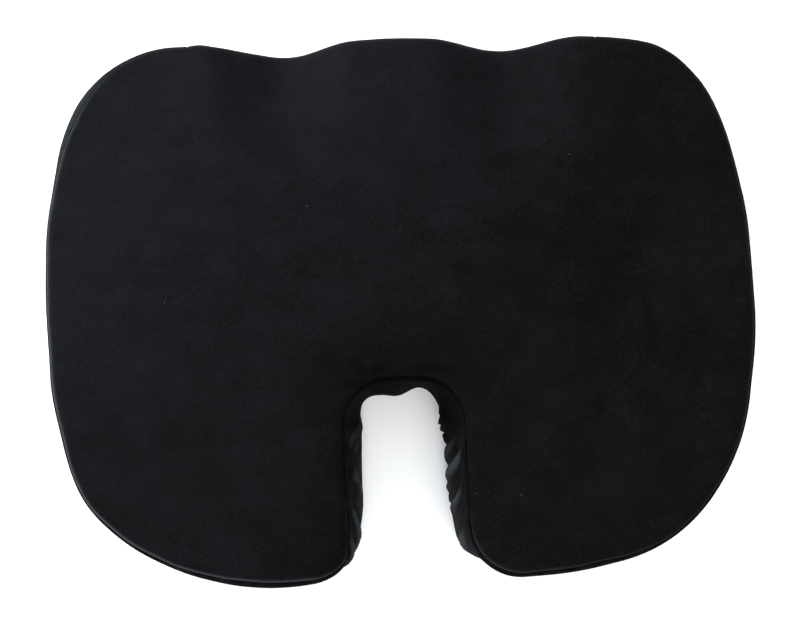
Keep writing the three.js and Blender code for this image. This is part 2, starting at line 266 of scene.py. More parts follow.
@dataclass(frozen=True)
class Velour:
    """Short-pile black velour: brushed nap, faint patches, a cool sheen, specks of lint, and painted light
    and shade.
    """

    name: str = "black_velour"
    pile: tuple[float, float, float] = (0.0009, 0.0009, 0.0010)
    brushed: tuple[float, float, float] = (0.0062, 0.0066, 0.0078)
    lint: tuple[float, float, float] = (0.085, 0.09, 0.095)
    # Colour of the painted highlight along the seam rim and on fold ridges, shown as rubbed pile.
    edge: tuple[float, float, float] = (0.052, 0.058, 0.063)
    # Vertex attribute of painted light and shade, with some rubbed wear: above 0 lightens, below 0 darkens.
    rim: str = "rim_wear"
    sheen: float = 0.022
    sheen_roughness: float = 0.28
    bloom: tuple[float, float, float] = (0.86, 0.93, 1.0)
    lint_size: float = 0.020
    specular: float = 0.03
    crinkle: float = 0.0

    def build(self) -> bpy.types.Material:
        """Makes the material.

        Returns:
            The material.
        """
        s = Shader(self.name)
        patches = s.ramp(s.noise(10.0, 4.0, 0.62), 0.34, 0.68)
        strokes = s.ramp(s.noise(44.0, 5.0, 0.70, s.stretched((0.9, 1.25, 1.0), 0.5)), 0.30, 0.72)
        bands = s.noise(95.0, 2.0, 0.5, s.stretched((0.06, 1.0, 1.0)))
        grain = s.ramp(s.noise(900.0, 3.0, 0.85), 0.30, 0.70)
        fibres = s.noise(420.0, 3.0, 0.75, s.stretched((1.0, 2.4, 1.0), -0.3))
        where = s.node("ShaderNodeSeparateXYZ", {}, {0: s.place})
        across, ahead = Value(s, where.outputs[0]), Value(s, where.outputs[1])
        # Painted light: the nap is lighter towards the front and the left, the side the key lamp lights.
        lit_side_gradient = s.ramp(ahead * 0.9 - across, -0.16, 0.32)
        crumpled = s.ramp(s.noise(88.0, 3.0, 0.6, s.stretched((1.0, 1.0, 0.36))), 0.34, 0.66)
        nap = 0.52 * lit_side_gradient + 0.20 * patches + 0.20 * strokes + 0.12 * bands + 0.62 * grain - 0.40
        nap = nap + self.crinkle * (crumpled - 0.5)
        tone = s.blend(s.math("MAXIMUM", nap, 0.0), self.pile, self.brushed)
        specks = s.node("ShaderNodeTexVoronoi", {}, {"Vector": s.place, "Scale": 70.0, "Randomness": 1.0})
        chosen = s.node("ShaderNodeSeparateColor", {}, {0: specks.outputs["Color"]}).outputs[0]
        lint = (Value(s, specks.outputs["Distance"]) < self.lint_size) * (Value(s, chosen) > 0.62)
        # Painted light and shade from the vertex attribute: below 0 the tone darkens towards the pile colour
        # as painted shade.
        worn = Value(s, s.node("ShaderNodeAttribute", {"attribute_name": self.rim}).outputs["Fac"])
        shaded_tone = s.blend(s.math("MAXIMUM", worn * -1.0, 0.0), tone, self.pile)
        # Above 0 the tone lightens towards the edge colour as a painted highlight of rubbed pile.
        rubbed = s.blend(s.math("MAXIMUM", worn, 0.0) * (grain * 0.5 + 0.6), shaded_tone, self.edge)
        s.set(Base_Color=s.blend(lint, rubbed, self.lint))
        s.set(Roughness=0.80 + 0.12 * grain)
        broad = s.relief(0.6 * strokes + 0.4 * patches + self.crinkle * crumpled, 2.2 * MM, 0.35)
        fine = s.relief(0.5 * fibres + 0.5 * grain, 0.35 * MM, 0.55, broad)
        s.set(Normal=fine, Specular_IOR_Level=self.specular)
        s.set(Sheen_Weight=self.sheen, Sheen_Roughness=self.sheen_roughness, Sheen_Tint=(*self.bloom, 1.0))
        return s.material


@dataclass(frozen=True)
class Knit:
    """Matte black knit: the anti-slip base and the zip tapes, each at its own stitch size."""

    name: str
    stitches: float
    tone: tuple[float, float, float] = (0.010, 0.010, 0.011)
    worn: tuple[float, float, float] = (0.020, 0.020, 0.021)

    def build(self) -> bpy.types.Material:
        """Makes the material.

        Returns:
            The material.
        """
        s = Shader(self.name)
        ribs = s.node(
            "ShaderNodeTexWave",
            {"wave_type": "BANDS", "bands_direction": "X"},
            {"Vector": s.place, "Scale": self.stitches, "Distortion": 0.6, "Detail": 1.0},
        )
        rows = s.node(
            "ShaderNodeTexWave",
            {"wave_type": "BANDS", "bands_direction": "DIAGONAL"},
            {"Vector": s.place, "Scale": self.stitches * 0.8, "Distortion": 0.4, "Detail": 1.0},
        )
        weave = Value(s, ribs.outputs["Fac"]) * Value(s, rows.outputs["Fac"])
        fuzz = s.noise(700.0, 2.0, 0.6)
        s.set(Base_Color=s.blend(0.6 * weave + 0.4 * fuzz, self.tone, self.worn))
        s.set(Roughness=0.72 + 0.15 * fuzz, Normal=s.relief(weave + 0.3 * fuzz, 0.22 * MM, 0.8))
        s.set(Specular_IOR_Level=0.12)
        return s.material


@dataclass(frozen=True)
class MouldedFoam:
    """Open-cell moulded foam with a slight skin."""

    name: str = "memory_foam"
    low: tuple[float, float, float] = (0.80, 0.72, 0.52)
    high: tuple[float, float, float] = (0.88, 0.83, 0.68)

    def build(self) -> bpy.types.Material:
        """Makes the material.

        Returns:
            The material.
        """
        s = Shader(self.name)
        cells = s.node("ShaderNodeTexVoronoi", {}, {"Vector": s.place, "Scale": 900.0})
        pores = Value(s, cells.outputs["Distance"])
        clouds = s.noise(14.0, 3.0)
        s.set(Base_Color=s.blend(0.7 * clouds + 0.3 * pores, self.low, self.high))
        s.set(Roughness=0.82 + 0.1 * clouds, Normal=s.relief(pores, 0.4 * MM, 0.6))
        return s.material


@dataclass(frozen=True)
class Nylon:
    """Black extruded nylon or thread, faintly streaked along its length."""

    name: str
    tone: tuple[float, float, float] = (0.010, 0.010, 0.011)
    roughness: float = 0.38

    def build(self) -> bpy.types.Material:
        """Makes the material.

        Returns:
            The material.
        """
        s = Shader(self.name)
        streaks = s.noise(1800.0, 2.0, 0.6)
        streaked = tuple(2.0 * c for c in self.tone)
        s.set(Base_Color=s.blend(streaks, self.tone, streaked))
        s.set(Roughness=self.roughness + 0.2 * streaks, Normal=s.relief(streaks, 0.05 * MM, 0.5))
        s.set(Specular_IOR_Level=0.28)
        return s.material


@dataclass(frozen=True)
class BlackEnamel:
    """Die-cast zinc under black enamel, rubbed thin where it is handled."""

    name: str = "black_enamel"
    enamel: tuple[float, float, float] = (0.010, 0.010, 0.012)
    zinc: tuple[float, float, float] = (0.075, 0.075, 0.078)

    def build(self) -> bpy.types.Material:
        """Makes the material.

        Returns:
            The material.
        """
        s = Shader(self.name)
        rubbed = s.ramp(s.noise(420.0, 4.0, 0.65), 0.60, 0.74)
        s.set(Base_Color=s.blend(0.5 * rubbed, self.enamel, self.zinc))
        s.set(Metallic=0.1 + 0.6 * rubbed, Roughness=0.40 - 0.1 * rubbed, Specular_IOR_Level=0.22)
        s.set(Normal=s.relief(s.noise(2600.0, 2.0), 0.03 * MM, 0.6), Coat_Weight=0.1)
        return s.material


@dataclass(frozen=True)
class GripRubber:
    """Soft black rubber of the grip dots."""

    name: str = "grip_rubber"
    clean: tuple[float, float, float] = (0.012, 0.012, 0.012)
    dusty: tuple[float, float, float] = (0.035, 0.035, 0.034)

    def build(self) -> bpy.types.Material:
        """Makes the material.

        Returns:
            The material.
        """
        s = Shader(self.name)
        dust = s.noise(260.0, 4.0, 0.7)
        s.set(Base_Color=s.blend(dust, self.clean, self.dusty))
        s.set(Roughness=0.42 + 0.25 * dust, Normal=s.relief(dust, 0.06 * MM, 0.5))
        return s.material


# ---- Mesh helpers ----


def mesh_object(name: str, points: Array, faces: Iterable[Sequence[int]]) -> bpy.types.Object:
    """Makes a mesh object at the origin.

    Args:
        name: The piece's name.
        points: Vertices, in the cushion's own frame.
        faces: Lists of vertex numbers, each anticlockwise from outside.

    Returns:
        The linked object, with smooth shading.
    """
    mesh = bpy.data.meshes.new(name)
    mesh.from_pydata(np.asarray(points, float).tolist(), [], [list(map(int, f)) for f in faces])
    mesh.polygons.foreach_set("use_smooth", [True] * len(mesh.polygons))
    mesh.update()
    made = bpy.data.objects.new(name, mesh)
    bpy.context.scene.collection.objects.link(made)
    return made


def grid_faces(columns: int, rows: int, closed: bool = False, flip: bool = False) -> list[tuple[int, ...]]:
    """Quads of a grid whose vertex (column, row) is number column * rows + row.

    Args:
        columns: Number of columns.
        rows: Number of rows.
        closed: Whether the last column joins the first.
        flip: Whether the faces look the other way.

    Returns:
        The quads.
    """
    faces = []
    for c in range(columns if closed else columns - 1):
        n = (c + 1) % columns
        for r in range(rows - 1):
            quad = (c * rows + r, c * rows + r + 1, n * rows + r + 1, n * rows + r)
            faces.append(quad[::-1] if flip else quad)
    return faces


def select_only(piece: bpy.types.Object) -> None:
    """Makes `piece` the only selected object, and the active one."""
    bpy.ops.object.select_all(action="DESELECT")
    piece.select_set(True)
    bpy.context.view_layer.objects.active = piece


def modify(piece: bpy.types.Object, kind: str, **settings: Any) -> None:
    """Adds a modifier to `piece` and applies it.

    Args:
        piece: The object.
        kind: The modifier's type.
        settings: Its properties.
    """
    modifier = piece.modifiers.new(kind.lower(), kind)
    for key, value in settings.items():
        setattr(modifier, key, value)
    select_only(piece)
    bpy.ops.object.modifier_apply(modifier=modifier.name)


def smoothstep(t: Array) -> Array:
    """0 below 0, 1 above 1 and smooth between."""
    t = np.clip(t, 0.0, 1.0)
    return t * t * (3.0 - 2.0 * t)


def waves(at: Array, *terms: tuple[float, float, float]) -> Array:
    """A sum of sines of `at`; each term is (wavelength, height, phase)."""
    return sum(height * np.sin(2 * np.pi * at / length + phase) for length, height, phase in terms)


# ---- Outline ----


@dataclass(frozen=True)
class Spot:
    """A soft local change round one place: `amount` there, fading over `reach`."""

    x: float
    y: float
    reach: float
    amount: float


def spots_at(places: Array, spots: Sequence[Spot]) -> Array:
    """Sum of the spots' amounts at each place.

    Args:
        places: Places seen from above.
        spots: The spots.

    Returns:
        The sum for each place.
    """
    total = np.zeros(len(places))
    for spot in spots:
        away = np.hypot(places[:, 0] - spot.x, places[:, 1] - spot.y) / spot.reach
        total += spot.amount * np.exp(-away * away)
    return total


@dataclass(frozen=True)
class Corner:
    """A rounded corner of the outline: its place, and the radius of its arc."""

    x: float
    y: float
    radius: float


@dataclass
class Outline:
    """The cushion's outline seen from above, measured along from the middle of the notch's end.

    It runs anticlockwise: right lobe, right side, front, left side, left lobe.
    """

    width: float
    depth: float
    notch_width: float = 74 * MM
    notch_depth: float = 125 * MM
    notch_end_radius: float = 28 * MM
    mouth_radii: tuple[float, float] = (22 * MM, 35 * MM)  # left, right
    step: float = 0.25 * MM
    straight_share: float = 0.36  # of the width, either side of the front's middle
    slack: tuple[Spot, ...] = (
        Spot(-0.194, 0.145, 0.024, 2.4 * MM),
        Spot(-0.135, 0.175, 0.030, 1.2 * MM),
        Spot(-0.126, 0.178, 0.006, 1.3 * MM),
        Spot(-0.085, 0.172, 0.018, 1.6 * MM),
        Spot(0.0, 0.175, 0.035, 2.0 * MM),
        Spot(0.153, 0.172, 0.018, -2.0 * MM),
        Spot(0.212, 0.114, 0.026, -2.6 * MM),
        Spot(0.222, 0.070, 0.025, -1.0 * MM),
        Spot(0.224, -0.060, 0.030, -1.0 * MM),
        Spot(0.085, -0.170, 0.030, -2.0 * MM),
        Spot(0.122, -0.165, 0.030, -1.2 * MM),
        Spot(-0.052, -0.172, 0.014, -2.2 * MM),
        Spot(-0.150, -0.160, 0.022, -1.2 * MM),
        Spot(-0.205, -0.124, 0.024, 2.8 * MM),
        Spot(-0.222, -0.075, 0.020, -1.6 * MM),
        Spot(-0.226, -0.025, 0.026, -2.0 * MM),
    )
    points: Array = field(init=False)
    normals: Array = field(init=False)
    along: Array = field(init=False)
    length: float = field(init=False)

    def __post_init__(self) -> None:
        """Rounds the corners and measures the outline."""
        corners = self.corners()
        line: list[tuple[float, float]] = [(0.0, corners[0].y)]
        for i, corner in enumerate(corners):
            line += self.arc(corners[i - 1], corner, corners[(i + 1) % len(corners)])
        line.append((0.0, corners[0].y))
        points = np.array(line)
        gaps = np.linalg.norm(np.diff(points, axis=0), axis=1)
        points = points[np.concatenate([[True], gaps > 1e-7])]
        gaps = np.linalg.norm(np.diff(points, axis=0), axis=1)
        along = np.concatenate([[0.0], np.cumsum(gaps)])
        self.length = float(along[-1])
        self.along = np.linspace(0.0, self.length, int(self.length / self.step) + 1)
        self.points = np.stack([np.interp(self.along, along, points[:, k]) for k in (0, 1)], axis=1)
        self.points += self.outward() * spots_at(self.points, self.slack)[:, None]
        self.normals = self.outward()

    def outward(self) -> Array:
        """Outward normals at the outline's points.

        Returns:
            One unit normal for each point.
        """
        heading = np.gradient(self.points, axis=0)
        heading /= np.linalg.norm(heading, axis=1)[:, None]
        heading[0] = heading[-1] = (1.0, 0.0)
        return np.stack([heading[:, 1], -heading[:, 0]], axis=1)

    def corners(self) -> list[Corner]:
        """The corners, from the notch's end round the right half and back round the left.

        Returns:
            The corners in the outline's order.
        """
        half_width, half_depth = self.width / 2, self.depth / 2
        shares = [
            (0.436, -1.0, 160 * MM),  # lobe, inner end
            (0.742, -0.905, 110 * MM),  # lobe, outer end
            (0.948, -0.554, 150 * MM),
            (1.0, -0.166, 260 * MM),  # widest part
            (1.0, 0.32, 190 * MM),
            (0.954, 0.728, 90 * MM),
            (0.767, 1.0, 64 * MM),  # front corner
        ]
        right = [
            Corner(self.notch_width / 2, self.notch_depth - half_depth, self.notch_end_radius),
            Corner(self.notch_width / 2, -half_depth, self.mouth_radii[1]),
        ]
        right += [Corner(x * half_width, y * half_depth, radius) for x, y, radius in shares]
        left = [Corner(-c.x, c.y, c.radius) for c in reversed(right)]
        left[-2] = Corner(-self.notch_width / 2, -half_depth, self.mouth_radii[0])
        return right + left

    @staticmethod
    def arc(a: Corner, b: Corner, c: Corner) -> list[tuple[float, float]]:
        """Points of the arc that rounds corner `b` between its neighbours.

        Args:
            a: The corner before.
            b: The rounded corner.
            c: The corner after.

        Returns:
            The arc's points, in the outline's order.
        """
        before = np.array([b.x - a.x, b.y - a.y])
        after = np.array([c.x - b.x, c.y - b.y])
        before /= np.linalg.norm(before)
        after /= np.linalg.norm(after)
        turn = math.atan2(before[0] * after[1] - before[1] * after[0], before @ after)
        side = np.array([-before[1], before[0]]) * math.copysign(1.0, turn)
        centre = np.array([b.x, b.y]) - before * b.radius * math.tan(abs(turn) / 2) + side * b.radius
        start = math.atan2(-side[1], -side[0])
        angles = start + turn * np.linspace(0.0, 1.0, ARC_STEPS)
        return [tuple(centre + b.radius * np.array([math.cos(t), math.sin(t)])) for t in angles]

    def at(self, along: Array) -> tuple[Array, Array]:
        """Points and outward normals at distances along the outline.

        Args:
            along: Distances along the outline.

        Returns:
            Points and unit normals, one row for each distance.
        """
        along = np.mod(along, self.length)
        points = np.stack([np.interp(along, self.along, self.points[:, k]) for k in (0, 1)], axis=1)
        normals = np.stack([np.interp(along, self.along, self.normals[:, k]) for k in (0, 1)], axis=1)
        return points, normals / np.linalg.norm(normals, axis=1)[:, None]

    def front_at(self, x: float) -> float:
        """Distance along to the point of the straight front edge at `x`.

        Args:
            x: A place along the front, within its straight part.

        Returns:
            The distance along the outline.
        """
        x_here, y_here = self.points.T
        front = (y_here > 0.0) & (np.abs(x_here) < self.straight_share * self.width)
        return float(np.interp(-x, -x_here[front], self.along[front]))


# ---- Cover shape ----


@dataclass(frozen=True)
class Fold:
    """A raised fold in the notch's wall; `start` and `end` are (distance along, height)."""

    start: tuple[float, float]
    end: tuple[float, float]
    width: float
    height: float

    def height_at(self, along: float, z: float) -> float:
        """Height of the fold at one place.

        Args:
            along: Distance along the outline, less than half of it either way.
            z: Height.

        Returns:
            The fold's height there.
        """
        ax, az = self.start
        dx, dz = self.end[0] - ax, self.end[1] - az
        share = ((along - ax) * dx + (z - az) * dz) / (dx * dx + dz * dz)
        held = min(max(share, 0.0), 1.0)
        away = math.hypot(along - ax - held * dx, z - az - held * dz) / self.width
        return self.height * math.exp(-away * away)


@dataclass(frozen=True)
class Crease:
    """A shallow crease in the top panel, between two places seen from above."""

    start: tuple[float, float]
    end: tuple[float, float]
    width: float
    depth: float
    ridge: float = 0.25  # height of the ridges beside it, as a share of its depth
    ridge_place: float = 2.1  # their distance from its middle, in widths
    fade: float = 0.4  # share of its length over which each end fades

    def drop(self, places: Array) -> Array:
        """How far the crease lowers each place, with a low ridge on either side.

        Args:
            places: Places seen from above.

        Returns:
            The drop at each place, slightly negative on the ridges.
        """
        start = np.array(self.start)
        run = np.array(self.end) - start
        share = np.clip((places - start) @ run / (run @ run), 0.0, 1.0)
        away = np.linalg.norm(places - start - share[:, None] * run, axis=1) / self.width
        fade = smoothstep(share / self.fade) * smoothstep((1.0 - share) / self.fade)
        ridges = self.ridge * np.exp(-((away - self.ridge_place) ** 2))
        return self.depth * fade * (np.exp(-away * away) - ridges)


@dataclass
class Seam:
    """The top seam: its line, the surface's outward and downhill directions, tilt and full height."""

    line: Array
    out: Array
    down: Array
    tilt: Array
    lift: Array

    def beside(self, across: float, sunk: Array | float) -> Array:
        """A line `across` downhill of the seam and `sunk` below the surface."""
        sunk = np.broadcast_to(sunk, len(self.line))[:, None]
        return self.line + self.down * across - self.out * sunk


@dataclass(frozen=True)
class Lean:
    """How far one wall of the notch comes in at its foot, and where along it."""

    side: float  # 1 for the right wall, -1 for the left
    amount: float
    start: float
    end: float
    ease_in: float = 22 * MM
    ease_out: float = 42 * MM


@dataclass
class CoverShape:
    """The sewn cover's outer surface, as the fabric lies over the foam."""

    outline: Outline
    height: float
    top_radius: float = 7.5 * MM
    base_radius: float = 5 * MM
    base_lift: float = 0.7 * MM
    base_seam_inset: float = 2 * MM
    top_seam_inset: float = 1.3 * MM
    crown: float = 1.6 * MM
    crown_reach: float = 22 * MM
    belly: float = 0.45 * MM
    rumples: tuple[float, float] = (0.25 * MM, 1.35 * MM)  # everywhere, and added in the notch
    rumple_slant: float = 0.55
    rumple_scale: tuple[float, float] = (62, 26)  # along the wall and up it
    notch_fade: tuple[float, float] = (62 * MM, 58 * MM)  # starts this far before the mouth, lasts
    gather_run: tuple[float, float] = (26 * MM, 86 * MM)  # where the gathers start and end
    gather_eases: tuple[float, float] = (10 * MM, 24 * MM)
    gather_pace: float = 9.2 * MM
    gather_swing: float = 7.5 * MM
    gather_height: float = 3.3 * MM
    recess_spacing: float = 147 * MM
    recess_width: float = 100 * MM
    recess_depths: tuple[float, float] = (26 * MM, 23.5 * MM)  # left, right
    recess_length: float = 118 * MM
    seam_insets: tuple[Spot, ...] = (
        Spot(-0.194, 0.132, 0.038, 5.0 * MM),
        Spot(-0.100, -0.180, 0.050, 1.5 * MM),
        Spot(-0.034, -0.146, 0.020, -2.4 * MM),
        Spot(0.062, -0.170, 0.030, 0.6 * MM),
        Spot(0.120, -0.172, 0.040, 1.0 * MM),
        Spot(0.0, -0.052, 0.030, 0.8 * MM),
    )
    wall_bulges: tuple[Spot, ...] = (
        Spot(-0.200, 0.136, 0.040, 3.6 * MM),
        Spot(-0.130, 0.178, 0.022, 2.0 * MM),
        Spot(-0.034, -0.146, 0.020, 2.0 * MM),
        Spot(0.029, -0.064, 0.013, 4.4 * MM),
        Spot(0.014, -0.052, 0.013, -1.6 * MM),
        Spot(-0.013, -0.052, 0.010, 2.6 * MM),
    )
    foot_moves: tuple[Spot, ...] = (
        Spot(-0.040, -0.162, 0.024, -8.6 * MM),
        Spot(0.062, -0.170, 0.036, -11.0 * MM),
        Spot(-0.022, -0.053, 0.010, -1.8 * MM),
        Spot(-0.004, -0.051, 0.007, 1.4 * MM),
        Spot(0.011, -0.051, 0.009, -4.4 * MM),
        Spot(0.029, -0.058, 0.009, 4.4 * MM),
        Spot(-0.110, -0.174, 0.046, -5.2 * MM),
        Spot(0.122, -0.164, 0.052, -5.6 * MM),
    )
    top_swells: tuple[Spot, ...] = (Spot(0.0, 0.15, 0.05, 1.6 * MM), Spot(-0.19, 0.12, 0.06, -2.2 * MM))
    leans: tuple[Lean, ...] = (
        Lean(1.0, 9.6 * MM, 28 * MM, 120 * MM),
        Lean(-1.0, 9.0 * MM, 24 * MM, 118 * MM),
    )
    folds: tuple[Fold, ...] = (
        Fold((-0.098, 0.062), (-0.128, 0.018), 4.0 * MM, 2.6 * MM),
        Fold((-0.120, 0.064), (-0.142, 0.012), 4.5 * MM, 2.4 * MM),
        Fold((-0.074, 0.058), (-0.092, 0.020), 4.5 * MM, 1.6 * MM),
        Fold((0.070, 0.060), (0.084, 0.012), 4.0 * MM, 1.8 * MM),
        Fold((0.092, 0.060), (0.104, 0.012), 4.0 * MM, 1.6 * MM),
        Fold((0.118, 0.060), (0.128, 0.014), 4.5 * MM, 1.8 * MM),
        Fold((0.034, 0.040), (0.046, 0.010), 6.0 * MM, 3.0 * MM),
    )

    def seam_inset(self, along: Array) -> Array:
        """Top seam's distance in from the outline.

        Args:
            along: Distances along the outline.

        Returns:
            One inset for each distance.
        """
        points, _ = self.outline.at(along)
        wander = waves(along, (0.093, 0.15 * MM, 0.4), (0.031, 0.10 * MM, 1.9))
        return self.top_seam_inset + spots_at(points, self.seam_insets) + wander

    def from_end(self, along: Array) -> Array:
        """Distance along the outline to the middle of the notch's end, the shorter way round."""
        run = np.mod(along, self.outline.length)
        return np.minimum(run, self.outline.length - run)

    def notch_share(self, along: Array) -> Array:
        """1 along the notch's walls and 0 round the outside.

        Args:
            along: Distances along the outline.

        Returns:
            One share for each distance.
        """
        wall = self.outline.notch_width / 2 + self.outline.notch_depth
        before, lasts = self.notch_fade
        return 1.0 - smoothstep((self.from_end(along) - (wall - before)) / lasts)

    def level(self, places: Array) -> Array:
        """Height of the top over each place, before its edge is rounded.

        Args:
            places: Places seen from above.

        Returns:
            One height for each place.
        """
        x, y = places[:, 0], places[:, 1]
        back = smoothstep(1.0 - (self.outline.depth / 2 - y) / self.recess_length)
        top = np.full(len(places), self.height)
        for side, depth in zip((-1, 1), self.recess_depths):
            across = np.clip(np.abs(x - side * self.recess_spacing / 2) / (self.recess_width / 2), 0.0, 1.0)
            top -= depth * (0.5 + 0.5 * np.cos(np.pi * across)) * back
        top += spots_at(places, self.top_swells)
        return top

    def top_point(self, places: Array, inset: Array) -> Array:
        """Points of the top surface over places that lie `inset` in from the outline.

        Args:
            places: Places seen from above.
            inset: Each place's distance in from the outline.

        Returns:
            One point for each place.
        """
        r = self.top_radius
        short = np.clip(r - inset, 0.0, r)
        drop = r - np.sqrt(np.maximum(r * r - short * short, 0.0))
        dome = self.crown * (1.0 - np.exp(-np.maximum(inset - r, 0.0) / self.crown_reach))
        return np.column_stack([places, self.level(places) - drop + dome])

    def seam(self, along: Array) -> Seam:
        """The top seam at distances along the outline.

        Args:
            along: Distances along the outline.

        Returns:
            The seam's line and directions there.
        """
        points, normals = self.outline.at(along)
        inset = self.seam_inset(along)
        places = points - normals * inset[:, None]
        lift = self.level(places)
        reach = np.clip(self.top_radius - inset, 0.0, self.top_radius) / self.top_radius
        rise = np.sqrt(1.0 - reach * reach)
        out = np.column_stack([normals * reach[:, None], rise])
        down = np.column_stack([normals * rise[:, None], -reach])
        line = np.column_stack([places, lift - self.top_radius * (1.0 - rise)])
        return Seam(line, out, down, np.arcsin(rise), lift)

    def wall_offset(self, along: Array, z: Array, top: Array) -> Array:
        """How far the wall's fabric stands out from the outline at each height.

        Args:
            along: Distances along the outline.
            z: One height for each distance.
            top: Height of the wall's upper end at each.

        Returns:
            One offset for each distance.
        """
        points, _ = self.outline.at(along)
        low = self.base_radius
        down = np.clip((top - z) / np.maximum(top - low, MM), 0.0, 1.0)
        belly = np.sin(np.pi * down) ** 0.9
        swell = self.belly + spots_at(points, self.wall_bulges)
        lean = (self.lean(along) + spots_at(points, self.foot_moves)) * smoothstep(down * 1.15)
        rumple = np.array([self.rumple(float(a), float(h)) for a, h in zip(along, z)])
        everywhere, in_notch = self.rumples
        wrinkles = (belly * (everywhere + in_notch * self.notch_share(along))) * rumple
        gathers = self.gathers(along, z) * smoothstep(down * 1.6 - 0.35)
        held_at_seams = np.sin(np.pi * np.clip(down * 0.96 + 0.02, 0.0, 1.0))
        folds = np.array([self.fold_at(float(a), float(h)) for a, h in zip(along, z)]) * held_at_seams
        return belly * swell + lean + wrinkles + folds + gathers

    def lean(self, along: Array) -> Array:
        """How far the foot of the wall comes out into the notch.

        Args:
            along: Distances along the outline.

        Returns:
            One offset for each distance.
        """
        total = np.zeros_like(along, dtype=float)
        for lean in self.leans:
            run = np.mod(lean.side * along, self.outline.length)
            ease_out = 1.0 - smoothstep((run - lean.end) / lean.ease_out)
            total += lean.amount * smoothstep((run - lean.start) / lean.ease_in) * ease_out
        return total

    def gathers(self, along: Array, z: Array) -> Array:
        """Small upright gathers low on the notch's right wall, where the band is eased round its corner.

        Args:
            along: Distances along the outline.
            z: One height for each distance.

        Returns:
            One offset for each distance.
        """
        run = np.mod(along, self.outline.length)
        (start, end), (ease_in, ease_out) = self.gather_run, self.gather_eases
        eased = smoothstep((run - start) / ease_in) * (1.0 - smoothstep((run - end) / ease_out))
        pace = (run + 0.12 * z) / self.gather_pace + 0.35 * np.sin(run / self.gather_swing)
        return self.gather_height * eased * (np.abs(np.sin(np.pi * pace)) - 0.55)

    def rumple(self, along: float, z: float) -> float:
        """Slanting wrinkles of the wall, between about -1 and 1.

        Args:
            along: Distance along the outline.
            z: Height.

        Returns:
            The wrinkle's height there.
        """
        angle = 2 * math.pi * along / self.outline.length
        radius = self.outline.length / (2 * math.pi)
        turned = angle + self.rumple_slant * z / radius
        across, up = self.rumple_scale
        where = Vector((math.cos(turned) * radius * across, math.sin(turned) * radius * across, z * up))
        return noise.noise(where) + 0.45 * noise.noise(where * 2.3 + Vector((7.0, 3.0, 1.0)))

    def fold_at(self, along: float, z: float) -> float:
        """Height of the named folds at one place of the wall.

        Args:
            along: Distance along the outline.
            z: Height.

        Returns:
            The sum of the folds' heights there.
        """
        half = self.outline.length / 2
        signed = (along + half) % self.outline.length - half
        return sum(fold.height_at(signed, z) for fold in self.folds)

    def wall(self, along: Array, z: Array, inset: Array | float = 0.0, top: Array | None = None) -> Array:
        """Points of the wall at the given heights, one for each distance along.

        Args:
            along: Distances along the outline.
            z: One height for each distance.
            inset: How far inside the wall's surface.
            top: Height of its upper end at each, or None.

        Returns:
            One point for each distance.
        """
        points, normals = self.outline.at(along)
        top = self.seam(along).lift - self.top_radius if top is None else top
        stand = self.wall_offset(along, z, top) - inset
        return np.column_stack([points + normals * stand[:, None], z])


def fill(rim: Array, spacing: float) -> tuple[Array, list[tuple[int, ...]]]:
    """Triangulates the inside of a closed rim on a triangular grid.

    Args:
        rim: The rim's vertices, anticlockwise seen from above.
        spacing: Distance between the grid's points.

    Returns:
        All vertices, the rim's first and in their order, and anticlockwise triangles.
    """
    low, high = rim.min(axis=0), rim.max(axis=0)
    lines = []
    for i, y in enumerate(np.arange(low[1], high[1], spacing * math.sqrt(0.75))):
        xs = np.arange(low[0] + (i % 2) * spacing / 2, high[0], spacing)
        lines.append(np.column_stack([xs, np.full(len(xs), y)]))
    grid = np.concatenate(lines)
    ahead = np.roll(rim, -1, axis=0)
    inside = np.zeros(len(grid), bool)
    for (ax, ay), (bx, by) in zip(rim, ahead):
        if ay != by:
            straddles = (ay > grid[:, 1]) != (by > grid[:, 1])
            inside ^= straddles & (grid[:, 0] < (bx - ax) * (grid[:, 1] - ay) / (by - ay) + ax)
    grid = grid[inside]
    nearest = 0.62 * spacing  # closer to the rim than this would make slivers
    clear = np.array([np.hypot(*(rim - place).T).min() for place in grid]) > nearest
    points = np.concatenate([rim, grid[clear]])
    edges = [(i, (i + 1) % len(rim)) for i in range(len(rim))]
    made = geometry.delaunay_2d_cdt([Vector(p) for p in points], edges, [], 1, 1e-7)
    source = [origins[0] if origins else None for origins in made[3]]
    faces = [tuple(source[v] for v in face) for face in made[2]]
    return points, [face for face in faces if None not in face]


def numbers(columns: int, rows: int, row: int, first: int, inner: int) -> list[int]:
    """Vertex numbers of one row of a closed grid, then of `inner` points that start at `first`."""
    return [column * rows + row for column in range(columns)] + [first + i for i in range(inner)]


# ---- Cover ----


@dataclass(frozen=True)
class Settling:
    """How the band's fabric settles between its seams: a short cloth run whose moves are capped."""

    frames: int = 20
    quality: int = 7
    mass: float = 0.05
    stretch: float = 22.0
    shear: float = 8.0
    bend: float = 0.35
    damping: float = 1.0
    slack: float = 0.05
    pressure: float = 3.0
    held_below: float = 0.02  # looseness under which a vertex is pinned
    outside: float = 0.30  # looseness outside the notch
    free_rows: tuple[float, float] = (0.16, 0.90)  # share of the way from the top seam to the base seam
    inwards: float = 0.7 * MM
    outwards: float = 3.0 * MM

    def apply_to(self, settings: Any) -> None:
        """Fills in a cloth modifier's settings.

        Args:
            settings: The modifier's settings.
        """
        settings.quality = self.quality
        settings.mass = self.mass
        settings.tension_stiffness = settings.compression_stiffness = self.stretch
        settings.shear_stiffness = self.shear
        settings.bending_stiffness = self.bend
        settings.air_damping = self.damping
        settings.vertex_group_mass = "held"
        settings.vertex_group_shrink = "slack"
        settings.shrink_min = 0.0
        settings.shrink_max = -self.slack
        settings.effector_weights.gravity = 0.0
        settings.use_pressure = True
        settings.uniform_pressure_force = self.pressure


